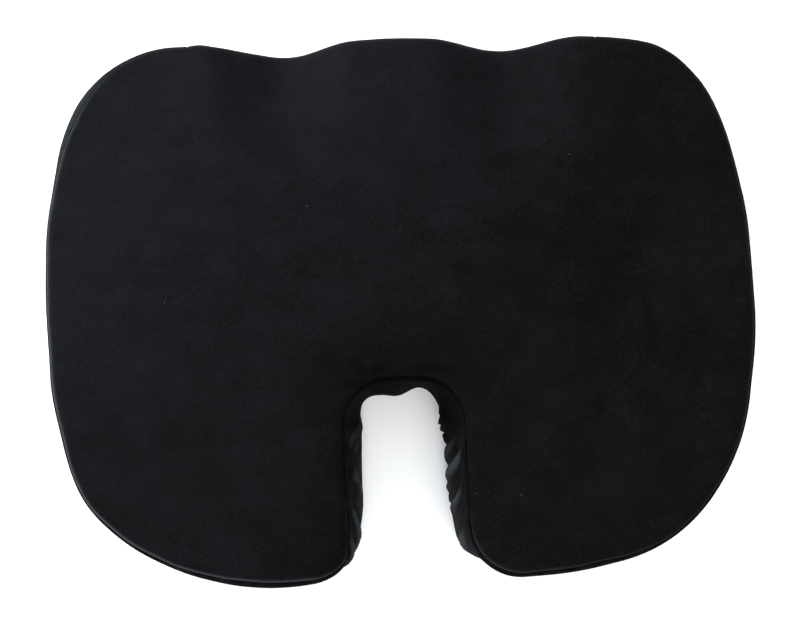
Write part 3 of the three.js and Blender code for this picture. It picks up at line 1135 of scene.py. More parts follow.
@dataclass
class Cover:
    """The velour cover over the foam: top panel, band, front strips and anti-slip base."""

    shape: CoverShape
    fabric: float = 1.2 * MM
    strip_fabric: float = 0.55 * MM
    pitch: float = 2.6 * MM
    groove: float = 1.1 * MM
    slot: tuple[float, float] = (18.5 * MM, 32.5 * MM)
    slot_half: float = 133.6 * MM
    channel: tuple[float, float] = (11.5 * MM, 39.5 * MM)
    panel_rings: tuple[float, ...] = (0.6, 1.3, 2.3, 3.6, 5.2, 7.2, 9.6, 12.4)  # mm in from the seam
    end_turns: tuple[tuple[float, float], ...] = ((0.0, 1.1), (0.25, 0.45), (0.8, 0.1))  # place, depth in mm
    notch_shade_run: tuple[float, float] = (26 * MM, 34 * MM)  # from the notch's end: the painted shade fades from, over
    light_run: tuple[float, float] = (50 * MM, 30 * MM)  # likewise for the light on the notch's walls
    ridge_full: float = 1.6 * MM  # a ridge this proud gets the full painted highlight of rubbed pile
    foam_rings: tuple[float, ...] = (4.4, 6.4, 9.0, 12.5)  # mm in from the outline
    foam_gap: float = 4.2 * MM
    foam_side_gap: float = 2.2 * MM
    foam_sole: float = 2.2 * MM
    channel_depth: float = 5.0 * MM
    top_net: float = 3.1 * MM  # spacing of the net inside the top panel's rings
    base_net: float = 5.5 * MM
    foam_nets: tuple[float, float] = (7 * MM, 9 * MM)  # top, sole
    settling: Settling = Settling()
    dot_pitch: float = 12 * MM
    dot_radius: float = 2.1 * MM
    dot_height: float = 0.45 * MM
    highlight_side: tuple[float, float] = (-0.80, -0.60)  # where the painted highlight on the seam rim faces
    lit_wall_side: tuple[float, float] = (-0.94, 0.34)  # where the band's painted light faces
    velour: Velour = Velour()
    # Darker copy of the velour for the band: its darker brushed colour is partly painted shade for the notch
    # walls, partly its nap lying downwards.
    band_velour: Velour = Velour(
        "black_velour_band", brushed=(0.0056, 0.0059, 0.0066), sheen=0.005, specular=0.012, crinkle=0.5
    )
    creases: tuple[Crease, ...] = (
        Crease((0.153, 0.010), (0.162, -0.050), 2.8 * MM, 1.3 * MM),
        Crease((0.185, -0.045), (0.187, -0.068), 3.0 * MM, 1.2 * MM),
        Crease((0.122, -0.060), (0.124, -0.078), 2.8 * MM, 0.9 * MM),
        Crease((0.163, 0.082), (0.166, 0.070), 2.6 * MM, 0.7 * MM),
        Crease((-0.0215, -0.0495), (-0.0310, -0.0345), 2.3 * MM, 2.0 * MM),
        Crease((-0.0225, -0.0475), (-0.0040, -0.0385), 2.3 * MM, 1.8 * MM),
        Crease((-0.0235, -0.0500), (-0.0400, -0.0540), 2.3 * MM, 1.5 * MM),
        Crease((-0.005, -0.0430), (0.042, -0.0454), 2.3 * MM, 1.7 * MM),
        Crease((-0.130, 0.060), (-0.205, 0.085), 7.0 * MM, 0.7 * MM),
        Crease((0.186, -0.03), (0.176, -0.095), 5.0 * MM, 0.5 * MM),
    )
    # Spots of painted shade, each as a share of full dark: round the notch's end and on the two lobes.
    painted_shade_spots: tuple[Spot, ...] = (
        Spot(-0.022, -0.050, 0.026, 0.55),
        Spot(0.026, -0.052, 0.026, 0.45),
        Spot(-0.130, -0.110, 0.060, 0.16),
        Spot(0.120, -0.120, 0.060, 0.10),
    )

    def pucker(self, along: Array) -> Array:
        """How hard the thread draws the fabric in along the seams, between 0 and 1.

        Args:
            along: Distances along the outline.

        Returns:
            One strength for each distance.
        """
        outline = self.shape.outline
        radius = outline.length / (2 * math.pi)
        angles = 2 * np.pi * along / outline.length
        circle = [Vector((math.cos(a) * radius, math.sin(a) * radius, 0.0)) for a in angles]
        return np.array([0.5 + 0.5 * noise.noise(p * 150) + 0.35 * noise.noise(p * 55) for p in circle])

    def columns(self) -> Array:
        """Distances along the whole outline at which meshes have a column."""
        count = int(self.shape.outline.length / self.pitch)
        return np.arange(count) * self.shape.outline.length / count

    def surface(self, places: Array, inset: Array, draw: Array | float) -> Array:
        """The top panel's points, with its creases, undulations and seam puckers.

        Args:
            places: Places seen from above.
            inset: Each place's distance in from the outline.
            draw: How hard the thread draws the fabric in there.

        Returns:
            One point for each place.
        """
        points = self.shape.top_point(places, inset)
        drops = np.array([crease.drop(places) for crease in self.creases])
        points[:, 2] -= drops.max(axis=0) + drops.min(axis=0)
        wander = np.array(
            [
                noise.noise(Vector((x * 17, y * 17, 0.3))) * 0.75
                + noise.noise(Vector((x * 46, y * 60, 5.0))) * 0.22
                for x, y in places
            ]
        )
        points[:, 2] += wander * MM * smoothstep(inset / (16 * MM))
        points[:, 2] -= 0.55 * MM * draw * np.exp(-((inset / (5.5 * MM)) ** 2))
        return points

    def top_panel(self) -> bpy.types.Object:
        """Makes the top panel: rings along its seam, and a fine net inside them.

        Returns:
            The piece.
        """
        along = self.columns()
        outline, seam, draw = self.shape.outline, self.shape.seam(along), self.pucker(along)
        base_inset = self.shape.seam_inset(along)
        points, normals = outline.at(along)
        rings = [
            seam.beside(0.0, self.groove),
            seam.beside(-0.10 * MM, 0.55 * MM + 0.25 * MM * draw),
            seam.beside(-0.38 * MM, 0.16 * MM + 0.22 * MM * draw),
        ]
        for extra in self.panel_rings:
            inset = base_inset + extra * MM
            rings.append(self.surface(points - normals * inset[:, None], inset, draw))
        stack = np.stack(rings, axis=1)
        count, rows = stack.shape[:2]
        net, triangles = fill(stack[:, -1, :2], self.top_net)
        inner = net[count:]
        inner_inset = np.array([np.hypot(*(outline.points[::6] - p).T).min() for p in inner])
        vertices = np.concatenate([stack.reshape(-1, 3), self.surface(inner, inner_inset, 0.0)])
        number = numbers(count, rows, rows - 1, count * rows, len(inner))
        faces = grid_faces(count, rows, closed=True, flip=True)
        faces += [tuple(number[v] for v in face) for face in triangles]
        piece = mesh_object("top_cover", vertices, faces)
        self.mark(piece, self.top_light_and_wear(vertices, along, rows))
        return self.finish_panel(piece, self.fabric)

    def top_light_and_wear(self, vertices: Array, along: Array, rows: int) -> Array:
        """Painted light and shade on the top panel, with some rubbed wear: up to 1 for the painted highlight
        along the seam rim, down to -1 for painted shade round the notch's end and in the creases.

        Args:
            vertices: The panel's vertices, the rings' first.
            along: The rings' columns.
            rows: Number of rings.

        Returns:
            The painted light and shade of each vertex.
        """
        points, normals = self.shape.outline.at(along)
        # Painted highlight on the seam rim, strongest on the left and back-left where the light grazes it,
        # weak on the right.
        facing = np.clip(normals @ np.array(self.highlight_side), 0.0, 1.0)
        facing *= 1.0 - 0.7 * smoothstep((points[:, 0] + 0.06) / 0.08)
        by_row = np.array([0.0, 0.2, 0.8, 1.0, 0.4, 0.08] + [0.0] * (rows - 6))
        away = 1.0 - 0.92 * self.shape.notch_share(along)
        # Painted shade in the spots.
        worn = -spots_at(vertices, self.painted_shade_spots)
        for crease in self.creases:
            dark = 0.7 * min(1.0, (2.8 * MM / crease.width) ** 3)  # painted shade in the crease; broad creases hardly darken
            worn -= dark * np.clip(crease.drop(vertices[:, :2]) / crease.depth, 0.0, 1.0)
        # Painted highlight along the seam rim, with a little rubbed wear all round, faint in the notch.
        worn[: len(along) * rows] += np.outer((0.14 + 0.76 * facing) * away, by_row).ravel()
        return worn

    def mark(self, piece: bpy.types.Object, worn: Array) -> None:
        """Writes each vertex's painted light and shade, with some rubbed wear, where the velour's finish
        reads it.
        """
        wear = piece.data.attributes.new(self.velour.rim, "FLOAT", "POINT")
        wear.data.foreach_set("value", worn.ravel())

    def finish_panel(self, piece: bpy.types.Object, thickness: float) -> bpy.types.Object:
        """Gives a fabric panel its thickness, inwards.

        Args:
            piece: The panel, as its outer surface.
            thickness: The fabric's thickness.

        Returns:
            The same piece.
        """
        modify(piece, "SOLIDIFY", thickness=thickness, offset=-1.0)
        select_only(piece)
        bpy.ops.object.shade_smooth()
        return piece

    def band_rows(self, along: Array, floor: float | None = None, roof: float | None = None) -> list[Array]:
        """Rows of the band's wall from the top seam to the base seam.

        Args:
            along: The columns.
            floor: Height at which a strip above the zip stops, or None for the base seam.
            roof: Height at which a strip below the zip starts, or None for the top seam.

        Returns:
            One array of points for each row, highest first.
        """
        shape, seam, draw = self.shape, self.shape.seam(along), self.pucker(along)
        points, normals = shape.outline.at(along)
        shoulder = seam.lift - shape.top_radius
        rows: list[Array] = []
        if roof is None:
            rows += [
                seam.beside(0.0, self.groove),
                seam.beside(0.12 * MM, 0.50 * MM + 0.25 * MM * draw),
                seam.beside(0.42 * MM, 0.12 * MM + 0.20 * MM * draw),
            ]
            for share in (0.22, 0.5, 0.8):
                tilt = (seam.tilt - 0.12) * (1.0 - share)
                reach = shape.top_radius * (np.cos(tilt) - 1.0)
                z = shoulder + shape.top_radius * np.sin(tilt)
                stand = reach - 0.30 * MM * draw * (1.0 - share)
                rows.append(np.column_stack([points + normals * stand[:, None], z]))
        high = shoulder if roof is None else np.full(len(along), roof)
        low = np.full(len(along), shape.base_radius if floor is None else floor)
        count = 19 if floor is None and roof is None else 7
        for share in np.linspace(0.0, 1.0, count):
            rows.append(shape.wall(along, high + (low - high) * share, top=shoulder))
        if floor is None:
            rows += self.foot_rows(along, shoulder)
        return rows

    def foot_rows(self, along: Array, shoulder: Array) -> list[Array]:
        """Rows of the band round its lower edge, down into the base seam.

        Args:
            along: The columns.
            shoulder: Height of the wall's upper end at each.

        Returns:
            One array of points for each row, highest first.
        """
        shape = self.shape
        radius, lift = shape.base_radius, shape.base_lift
        last = math.acos((radius - shape.base_seam_inset) / radius)
        rows = []
        for share in (0.3, 0.62, 0.92):
            tilt = last * share
            z = np.full(len(along), lift + radius * (1.0 - math.sin(tilt)))
            rows.append(shape.wall(along, z, radius * (1.0 - math.cos(tilt)), shoulder))
        rows.append(self.foot_line(along, 1.9 * MM, 1.45 * MM))
        rows.append(self.foot_line(along, 2.6 * MM, 2.1 * MM))
        return rows

    def foot_line(self, along: Array, inset: float, z: float) -> Array:
        """A line along the foot of the wall, `inset` in from it."""
        heights = np.full(len(along), z)
        return self.shape.wall(along, heights, inset)

    def strip(
        self,
        name: str,
        start: float,
        end: float,
        rows_of: Callable[[Array], list[Array]],
        thick: float,
        loosen: bool = False,
    ) -> bpy.types.Object:
        """Makes a strip of the band whose two ends turn in at their seams.

        Args:
            name: The piece's name.
            start: Distance along the outline where it starts.
            end: Distance along the outline where it ends.
            rows_of: Gives the strip's rows at the columns.
            thick: The fabric's thickness.
            loosen: Whether the fabric settles by cloth simulation.

        Returns:
            The strip.
        """
        count = int((end - start) / self.pitch)
        turn = np.array([place for place, _ in self.end_turns]) * MM
        between = np.linspace(start + 2 * MM, end - 2 * MM, count)
        along = np.concatenate([start + turn, between, end - turn[::-1]])
        stack = np.stack(rows_of(along), axis=1)
        _, normals = self.shape.outline.at(along)
        for column, (_, sunk) in enumerate(self.end_turns):
            for end_column in (column, -1 - column):
                stack[end_column, :, :2] -= normals[end_column] * sunk * MM
        piece = mesh_object(name, stack.reshape(-1, 3), grid_faces(len(along), stack.shape[1]))
        if loosen:
            stack = self.settle(piece, stack, along)
        self.mark(piece, self.strip_light_and_wear(stack, along))
        return self.finish_panel(piece, thick)

    def strip_light_and_wear(self, stack: Array, along: Array) -> Array:
        """Painted light and shade on a strip, with some rubbed wear: up to 1 for painted highlights on its
        ridges and low on the notch walls, down to -1 for painted shade in its nooks and under the seam.

        Args:
            stack: The strip's points, as (column, row, axis).
            along: Its columns.

        Returns:
            The painted light and shade of each point, as (column, row).
        """
        plain, normals = self.shape.outline.at(along)
        columns, rows = stack.shape[:2]
        reach = 3  # columns on either side that a ridge is measured against
        proud = np.zeros((columns, rows))
        flat = np.repeat(plain[:, None, :], rows, axis=1)
        for line, sign in ((stack[:, :, :2], 1.0), (flat, -1.0)):
            middle = (line[2 * reach:] + line[:-2 * reach]) / 2
            stands = line[reach:-reach] - middle
            proud[reach:-reach] += sign * np.einsum("crk,ck->cr", stands, normals[reach:-reach])
        from_end, share = self.shape.from_end(along), self.shape.notch_share(along)
        # Painted shade at the notch's end and in a band under the top seam.
        notch_end_shade = 1.0 - smoothstep((from_end - self.notch_shade_run[0]) / self.notch_shade_run[1])
        seam_shade = 0.8 * np.exp(-np.arange(rows) / 4.0)
        shade = np.maximum(0.95 * notch_end_shade[:, None], np.outer(share, seam_shade))
        # Painted light on the band where it faces the key lamp, outside the notch.
        lit_wall = np.clip(normals @ np.array(self.lit_wall_side), 0.0, 1.0) ** 3 * (1.0 - share)
        brushed = np.outer(lit_wall, np.exp(-np.arange(rows) / 9.0)) * 0.36
        low = smoothstep(np.linspace(-0.6, 1.2, rows))
        lit = smoothstep((from_end - self.light_run[0]) / self.light_run[1])
        light = np.outer(share * lit, low) * 0.34
        # Painted highlight on the fold ridges, shown as rubbed pile, plus the painted light and shade above.
        return np.clip(proud / self.ridge_full, 0.0, 1.0) * 0.55 + light + brushed - shade

    def settle(self, piece: bpy.types.Object, stack: Array, along: Array) -> Array:
        """Lets a strip's fabric buckle between its held seams, by cloth simulation.

        Args:
            piece: The strip, before it has its thickness.
            stack: Its points, as (column, row, axis).
            along: Its columns.

        Returns:
            The settled points, which are also the piece's.
        """
        columns, rows = stack.shape[:2]
        run = self.settling
        row = np.linspace(0.0, 1.0, rows)
        high, low = run.free_rows
        free = np.clip(np.minimum(row - high, low - row) / 0.12, 0.0, 1.0)
        ends = np.clip(np.minimum(np.arange(columns), np.arange(columns)[::-1]) / 12.0, 0.0, 1.0)
        notch = run.outside + (1.0 - run.outside) * self.shape.notch_share(along)
        loose = np.outer(ends * notch, free)
        held = piece.vertex_groups.new(name="held")
        slack = piece.vertex_groups.new(name="slack")
        for index, value in enumerate(loose.ravel()):
            held.add([index], 1.0 if value < run.held_below else 0.0, "REPLACE")
            slack.add([index], float(value), "REPLACE")
        cloth = piece.modifiers.new("cloth", "CLOTH")
        run.apply_to(cloth.settings)
        cloth.collision_settings.use_collision = False
        cloth.point_cache.frame_end = run.frames
        for frame_number in range(1, run.frames + 1):
            bpy.context.scene.frame_set(frame_number)
        select_only(piece)
        bpy.ops.object.modifier_apply(modifier=cloth.name)
        bpy.context.scene.frame_set(1)
        moved = np.array([v.co for v in piece.data.vertices]).reshape(columns, rows, 3) - stack
        _, normals = self.shape.outline.at(along)
        out = np.einsum("crk,ck->cr", moved[:, :, :2], normals)
        limit = np.where(out < 0.0, run.inwards, run.outwards) * np.maximum(loose, run.held_below)
        length = np.linalg.norm(moved, axis=2)
        log.info("%s: fabric moved up to %.1f mm", piece.name, float(length.max()) / MM)
        moved *= np.minimum(1.0, limit / np.maximum(length, 1e-9))[:, :, None]
        settled = stack + moved
        piece.data.vertices.foreach_set("co", settled.astype(np.float32).ravel())
        piece.data.update()
        piece.vertex_groups.clear()
        return settled

    def side_band(self) -> bpy.types.Object:
        """Makes the band round the sides, the lobes and the notch.

        Returns:
            The piece.
        """
        outline = self.shape.outline
        start = outline.front_at(-self.slot_half)
        end = outline.length + outline.front_at(self.slot_half)
        return self.strip("side_cover", start, end, self.band_rows, self.fabric, loosen=True)

    def hem(self, along: Array, z: float, turn: float) -> list[Array]:
        """Rows of the hem that folds in and away from the zip.

        Args:
            along: The columns.
            z: Height of the hem's edge.
            turn: 1 for a hem above the zip, -1 for one below it.

        Returns:
            One array of points for each row, outermost first.
        """
        steps = ((0.0, 0.55), (0.12, 0.18), (0.45, 0.0), (0.80, 0.18), (0.95, 0.6), (0.95, 4.5))
        rows = []
        for inset, back in steps:
            heights = np.full(len(along), z + turn * back * MM)
            rows.append(self.shape.wall(along, heights, inset * MM))
        return rows

    def front_strips(self) -> list[bpy.types.Object]:
        """Makes the two hemmed strips of the front, above and below the zip.

        Returns:
            The upper strip and the lower one.
        """
        outline = self.shape.outline
        start, end = outline.front_at(self.slot_half), outline.front_at(-self.slot_half)
        low, high = self.slot

        def upper(along: Array) -> list[Array]:
            """Rows of the strip above the zip."""
            return self.band_rows(along, floor=high + 1.2 * MM) + self.hem(along, high, 1.0)

        def lower(along: Array) -> list[Array]:
            """Rows of the strip below the zip."""
            return self.hem(along, low, -1.0)[::-1] + self.band_rows(along, roof=low - 1.2 * MM)

        return [
            self.strip("front_cover_upper", start, end, upper, self.strip_fabric),
            self.strip("front_cover_lower", start, end, lower, self.strip_fabric),
        ]

    def base_panel(self) -> bpy.types.Object:
        """Makes the anti-slip base cloth.

        Returns:
            The piece.
        """
        along = self.columns()
        rings = [
            self.foot_line(along, inset, z)
            for inset, z in (
                (2.9 * MM, 2.1 * MM),
                (2.9 * MM, 1.35 * MM),
                (3.5 * MM, 0.95 * MM),
                (5.0 * MM, 0.72 * MM),
                (8.0 * MM, self.shape.base_lift),
            )
        ]
        stack = np.stack(rings, axis=1)
        count, rows = stack.shape[:2]
        net, triangles = fill(stack[:, -1, :2], self.base_net)
        inner = net[count:]
        ripples = [0.12 * MM * noise.noise(Vector((x * 60, y * 60, 9.0))) for x, y in inner]
        level = self.shape.base_lift + np.array(ripples)
        vertices = np.concatenate([stack.reshape(-1, 3), np.column_stack([inner, level])])
        number = numbers(count, rows, rows - 1, count * rows, len(inner))
        faces = grid_faces(count, rows, closed=True)
        faces += [tuple(number[v] for v in face[::-1]) for face in triangles]
        return self.finish_panel(mesh_object("base_cloth", vertices, faces), self.fabric)

    def grip_dots(self) -> bpy.types.Object:
        """Makes the raised rubber dots under the base cloth, modelled once and copied.

        Returns:
            The piece.
        """
        circle = {"vertices": 10, "radius": self.dot_radius, "fill_type": "NGON"}
        bench = Bench("grip_dots", bpy.ops.mesh.primitive_circle_add, **circle)
        bench.pick(Pick.FACE, lambda middle, normal: True)
        extrude(0, 0, self.dot_height)
        bpy.ops.transform.resize(value=(0.86, 0.86, 1.0))
        bpy.ops.mesh.inset(thickness=0.6 * MM, depth=0.25 * MM)
        dot = bench.done(60)
        unit = np.array([v.co for v in dot.data.vertices]) * (1, 1, -1)
        unit_faces = [tuple(p.vertices)[::-1] for p in dot.data.polygons]
        bpy.data.objects.remove(dot)
        places = self.dot_places()
        top = self.shape.base_lift
        points = np.concatenate([unit + (x, y, top) for x, y in places])
        faces = [tuple(v + i * len(unit) for v in f) for i in range(len(places)) for f in unit_faces]
        return mesh_object("grip_dots", points, faces)

    def dot_places(self) -> Array:
        """Centres of the dots: a staggered field that stays clear of the seam.

        Returns:
            One (x, y) for each dot.
        """
        along = self.columns()
        rim = self.foot_line(along, 9 * MM, 0.0)[:, :2]
        points, _ = fill(rim, self.dot_pitch)
        return points[len(rim):]

    def foam(self) -> bpy.types.Object:
        """Makes the moulded foam core, one closed solid just inside the cover.

        Returns:
            The piece.
        """
        along = self.columns()[::2]
        points, normals = self.shape.outline.at(along)
        shoulder = self.shape.seam(along).lift - self.shape.top_radius
        low, high = self.channel
        half = self.slot_half + 9 * MM
        behind_zip = (np.abs(points[:, 0]) < half) & (points[:, 1] > 0.9 * points[:, 1].max())
        rings = [self.foot_line(along, 9 * MM, self.foam_sole), self.foot_line(along, 4.5 * MM, 3.2 * MM)]
        for z, sunk in ((6.5 * MM, 0), (low, 0), (low, 1), (high, 1), (high, 0)):
            depth = self.foam_side_gap + sunk * self.channel_depth * behind_zip
            rings.append(self.shape.wall(along, np.full(len(along), z), depth, shoulder))
        rings.append(self.shape.wall(along, shoulder - 4 * MM, self.foam_side_gap, shoulder))
        for inset in self.foam_rings:
            places = points - normals * inset * MM
            top = self.shape.top_point(places, np.full(len(along), (inset - 1.0) * MM))
            rings.append(top - (0.0, 0.0, self.foam_gap))
        stack = np.stack(rings, axis=1)
        count, rows = stack.shape[:2]
        net, triangles = fill(stack[:, -1, :2], self.foam_nets[0])
        under, under_triangles = fill(stack[:, 0, :2], self.foam_nets[1])
        inner = net[count:]
        roof = self.shape.top_point(inner, np.full(len(inner), 30 * MM)) - (0.0, 0.0, self.foam_gap)
        sole = np.column_stack([under[count:], np.full(len(under) - count, self.foam_sole)])
        vertices = np.concatenate([stack.reshape(-1, 3), roof, sole])
        tops = numbers(count, rows, rows - 1, count * rows, len(roof))
        soles = numbers(count, rows, 0, count * rows + len(roof), len(sole))
        faces = grid_faces(count, rows, closed=True)
        faces += [tuple(tops[v] for v in face) for face in triangles]
        faces += [tuple(soles[v] for v in face[::-1]) for face in under_triangles]
        return mesh_object("foam_pad", vertices, faces)

    def build(self) -> None:
        """Builds the cover and the foam, dresses them and puts them on the cushion body."""
        top, side = self.top_panel(), self.side_band()
        upper, lower = self.front_strips()
        base, dots, pad = self.base_panel(), self.grip_dots(), self.foam()
        band_velour = self.band_velour.build()
        place(top, Body.CUSHION, Slot.VELOUR, self.velour.build(), "top_panel")
        place(side, Body.CUSHION, Slot.VELOUR, band_velour, "side_band")
        place(upper, Body.CUSHION, Slot.VELOUR, band_velour, "front_band_upper")
        place(lower, Body.CUSHION, Slot.VELOUR, band_velour, "front_band_lower")
        place(base, Body.CUSHION, Slot.BASE, Knit("base_knit", 140.0).build(), "base_panel")
        place(dots, Body.CUSHION, Slot.BASE, GripRubber().build())
        place(pad, Body.CUSHION, Slot.FOAM, MouldedFoam().build(), "foam_core")


def place(piece: bpy.types.Object, body: Body, slot: Slot, material: bpy.types.Material, *nodes: str) -> None:
    """Dresses a finished piece, puts it on its body and hides the frame's nodes that it stands for.

    Args:
        piece: The piece.
        body: The body it rides on.
        slot: Its material slot; not used.
        material: Its finish.
        nodes: The frame's nodes that it stands for.
    """
    piece.data.materials.clear()
    piece.data.materials.append(material)
    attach(piece, body.value)
    if nodes:
        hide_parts(*nodes)
    log.info("%s: %d faces, on %s", piece.name, len(piece.data.polygons), body.value)


# ---- Operator modelling ----


class Pick(Enum):
    """What a selection takes."""

    VERTEX = "VERT"
    EDGE = "EDGE"
    FACE = "FACE"


class Bench:
    """One piece being shaped in edit mode by operators."""

    def __init__(
        self, name: str, add: Callable[..., Any], scale: Sequence[float] = (1.0, 1.0, 1.0), **settings: Any
    ) -> None:
        """Adds a primitive at its size and place, and opens it in edit mode.

        Args:
            name: The piece's name.
            add: The operator that adds the primitive.
            scale: Factor on each axis.
            settings: The operator's own settings.
        """
        bpy.ops.object.select_all(action="DESELECT")
        add(**settings)
        self.piece = bpy.context.object
        self.piece.scale = scale
        self.piece.name = self.piece.data.name = name
        bpy.ops.object.transform_apply(location=True, rotation=True, scale=True)
        bpy.ops.object.mode_set(mode="EDIT")
        bpy.ops.mesh.select_all(action="DESELECT")

    def pick(self, kind: Pick, test: Callable[[Vector, Vector], bool]) -> None:
        """Selects the vertices, edges or faces that pass a test.

        Args:
            kind: What is selected.
            test: Gives True for what is selected, from its middle and its normal or run.
        """
        bpy.ops.mesh.select_mode(type=kind.value)
        bpy.ops.mesh.select_all(action="DESELECT")
        shape = bmesh.from_edit_mesh(self.piece.data)
        shape.normal_update()
        if kind is Pick.VERTEX:
            for vertex in shape.verts:
                vertex.select_set(bool(test(vertex.co, vertex.normal)))
        elif kind is Pick.EDGE:
            for edge in shape.edges:
                middle = (edge.verts[0].co + edge.verts[1].co) / 2
                edge.select_set(bool(test(middle, edge.verts[1].co - edge.verts[0].co)))
        else:
            for face in shape.faces:
                face.select_set(bool(test(face.calc_center_median(), face.normal)))
        shape.select_flush_mode()
        bmesh.update_edit_mesh(self.piece.data)

    def done(self, angle: float = 35.0) -> bpy.types.Object:
        """Leaves edit mode and smooths what bends by less than `angle` degrees.

        Args:
            angle: Largest bend that is shaded smooth, in degrees.

        Returns:
            The shaped piece.
        """
        bpy.ops.mesh.select_all(action="SELECT")
        bpy.ops.mesh.remove_doubles(threshold=1e-6)
        bpy.ops.mesh.normals_make_consistent(inside=False)
        bpy.ops.object.mode_set(mode="OBJECT")
        select_only(self.piece)
        bpy.ops.object.shade_smooth_by_angle(angle=math.radians(angle))
        return self.piece


def extrude(*move: float) -> None:
    """Extrudes what is selected, by a move along X, Y and Z."""
    bpy.ops.mesh.extrude_region_move(TRANSFORM_OT_translate={"value": move})


def narrow(share: float, centre: Sequence[float]) -> None:
    """Scales the height of what is selected, about a centre."""
    bpy.ops.transform.resize(value=(1.0, 1.0, share), center_override=centre)


def join(pieces: Sequence[bpy.types.Object]) -> bpy.types.Object:
    """Joins pieces into the first of them.

    Args:
        pieces: The pieces.

    Returns:
        The first piece, with the others in it.
    """
    bpy.ops.object.select_all(action="DESELECT")
    for piece in pieces:
        piece.select_set(True)
    bpy.context.view_layer.objects.active = pieces[0]
    if len(pieces) > 1:
        bpy.ops.object.join()
    return pieces[0]


# ---- Zip ----


def rings_mesh(name: str, runs: Sequence[Array]) -> bpy.types.Object:
    """Makes closed, capped tubes.

    Args:
        name: The piece's name.
        runs: One array (rings, sides, 3) for each tube.

    Returns:
        The piece.
    """
    points, faces, first = [], [], 0
    for run in runs:
        count, sides = run.shape[:2]
        for ring in range(count - 1):
            for side in range(sides):
                a, b = first + ring * sides + side, first + ring * sides + (side + 1) % sides
                faces.append((a, b, b + sides, a + sides))
        faces.append(tuple(range(first + sides - 1, first - 1, -1)))
        faces.append(tuple(range(first + (count - 1) * sides, first + count * sides)))
        points.append(run.reshape(-1, 3))
        first += count * sides
    piece = mesh_object(name, np.concatenate(points), faces)
    select_only(piece)
    bpy.ops.object.mode_set(mode="EDIT")
    bpy.ops.mesh.select_all(action="SELECT")
    bpy.ops.mesh.normals_make_consistent(inside=False)
    bpy.ops.object.mode_set(mode="OBJECT")
    return piece


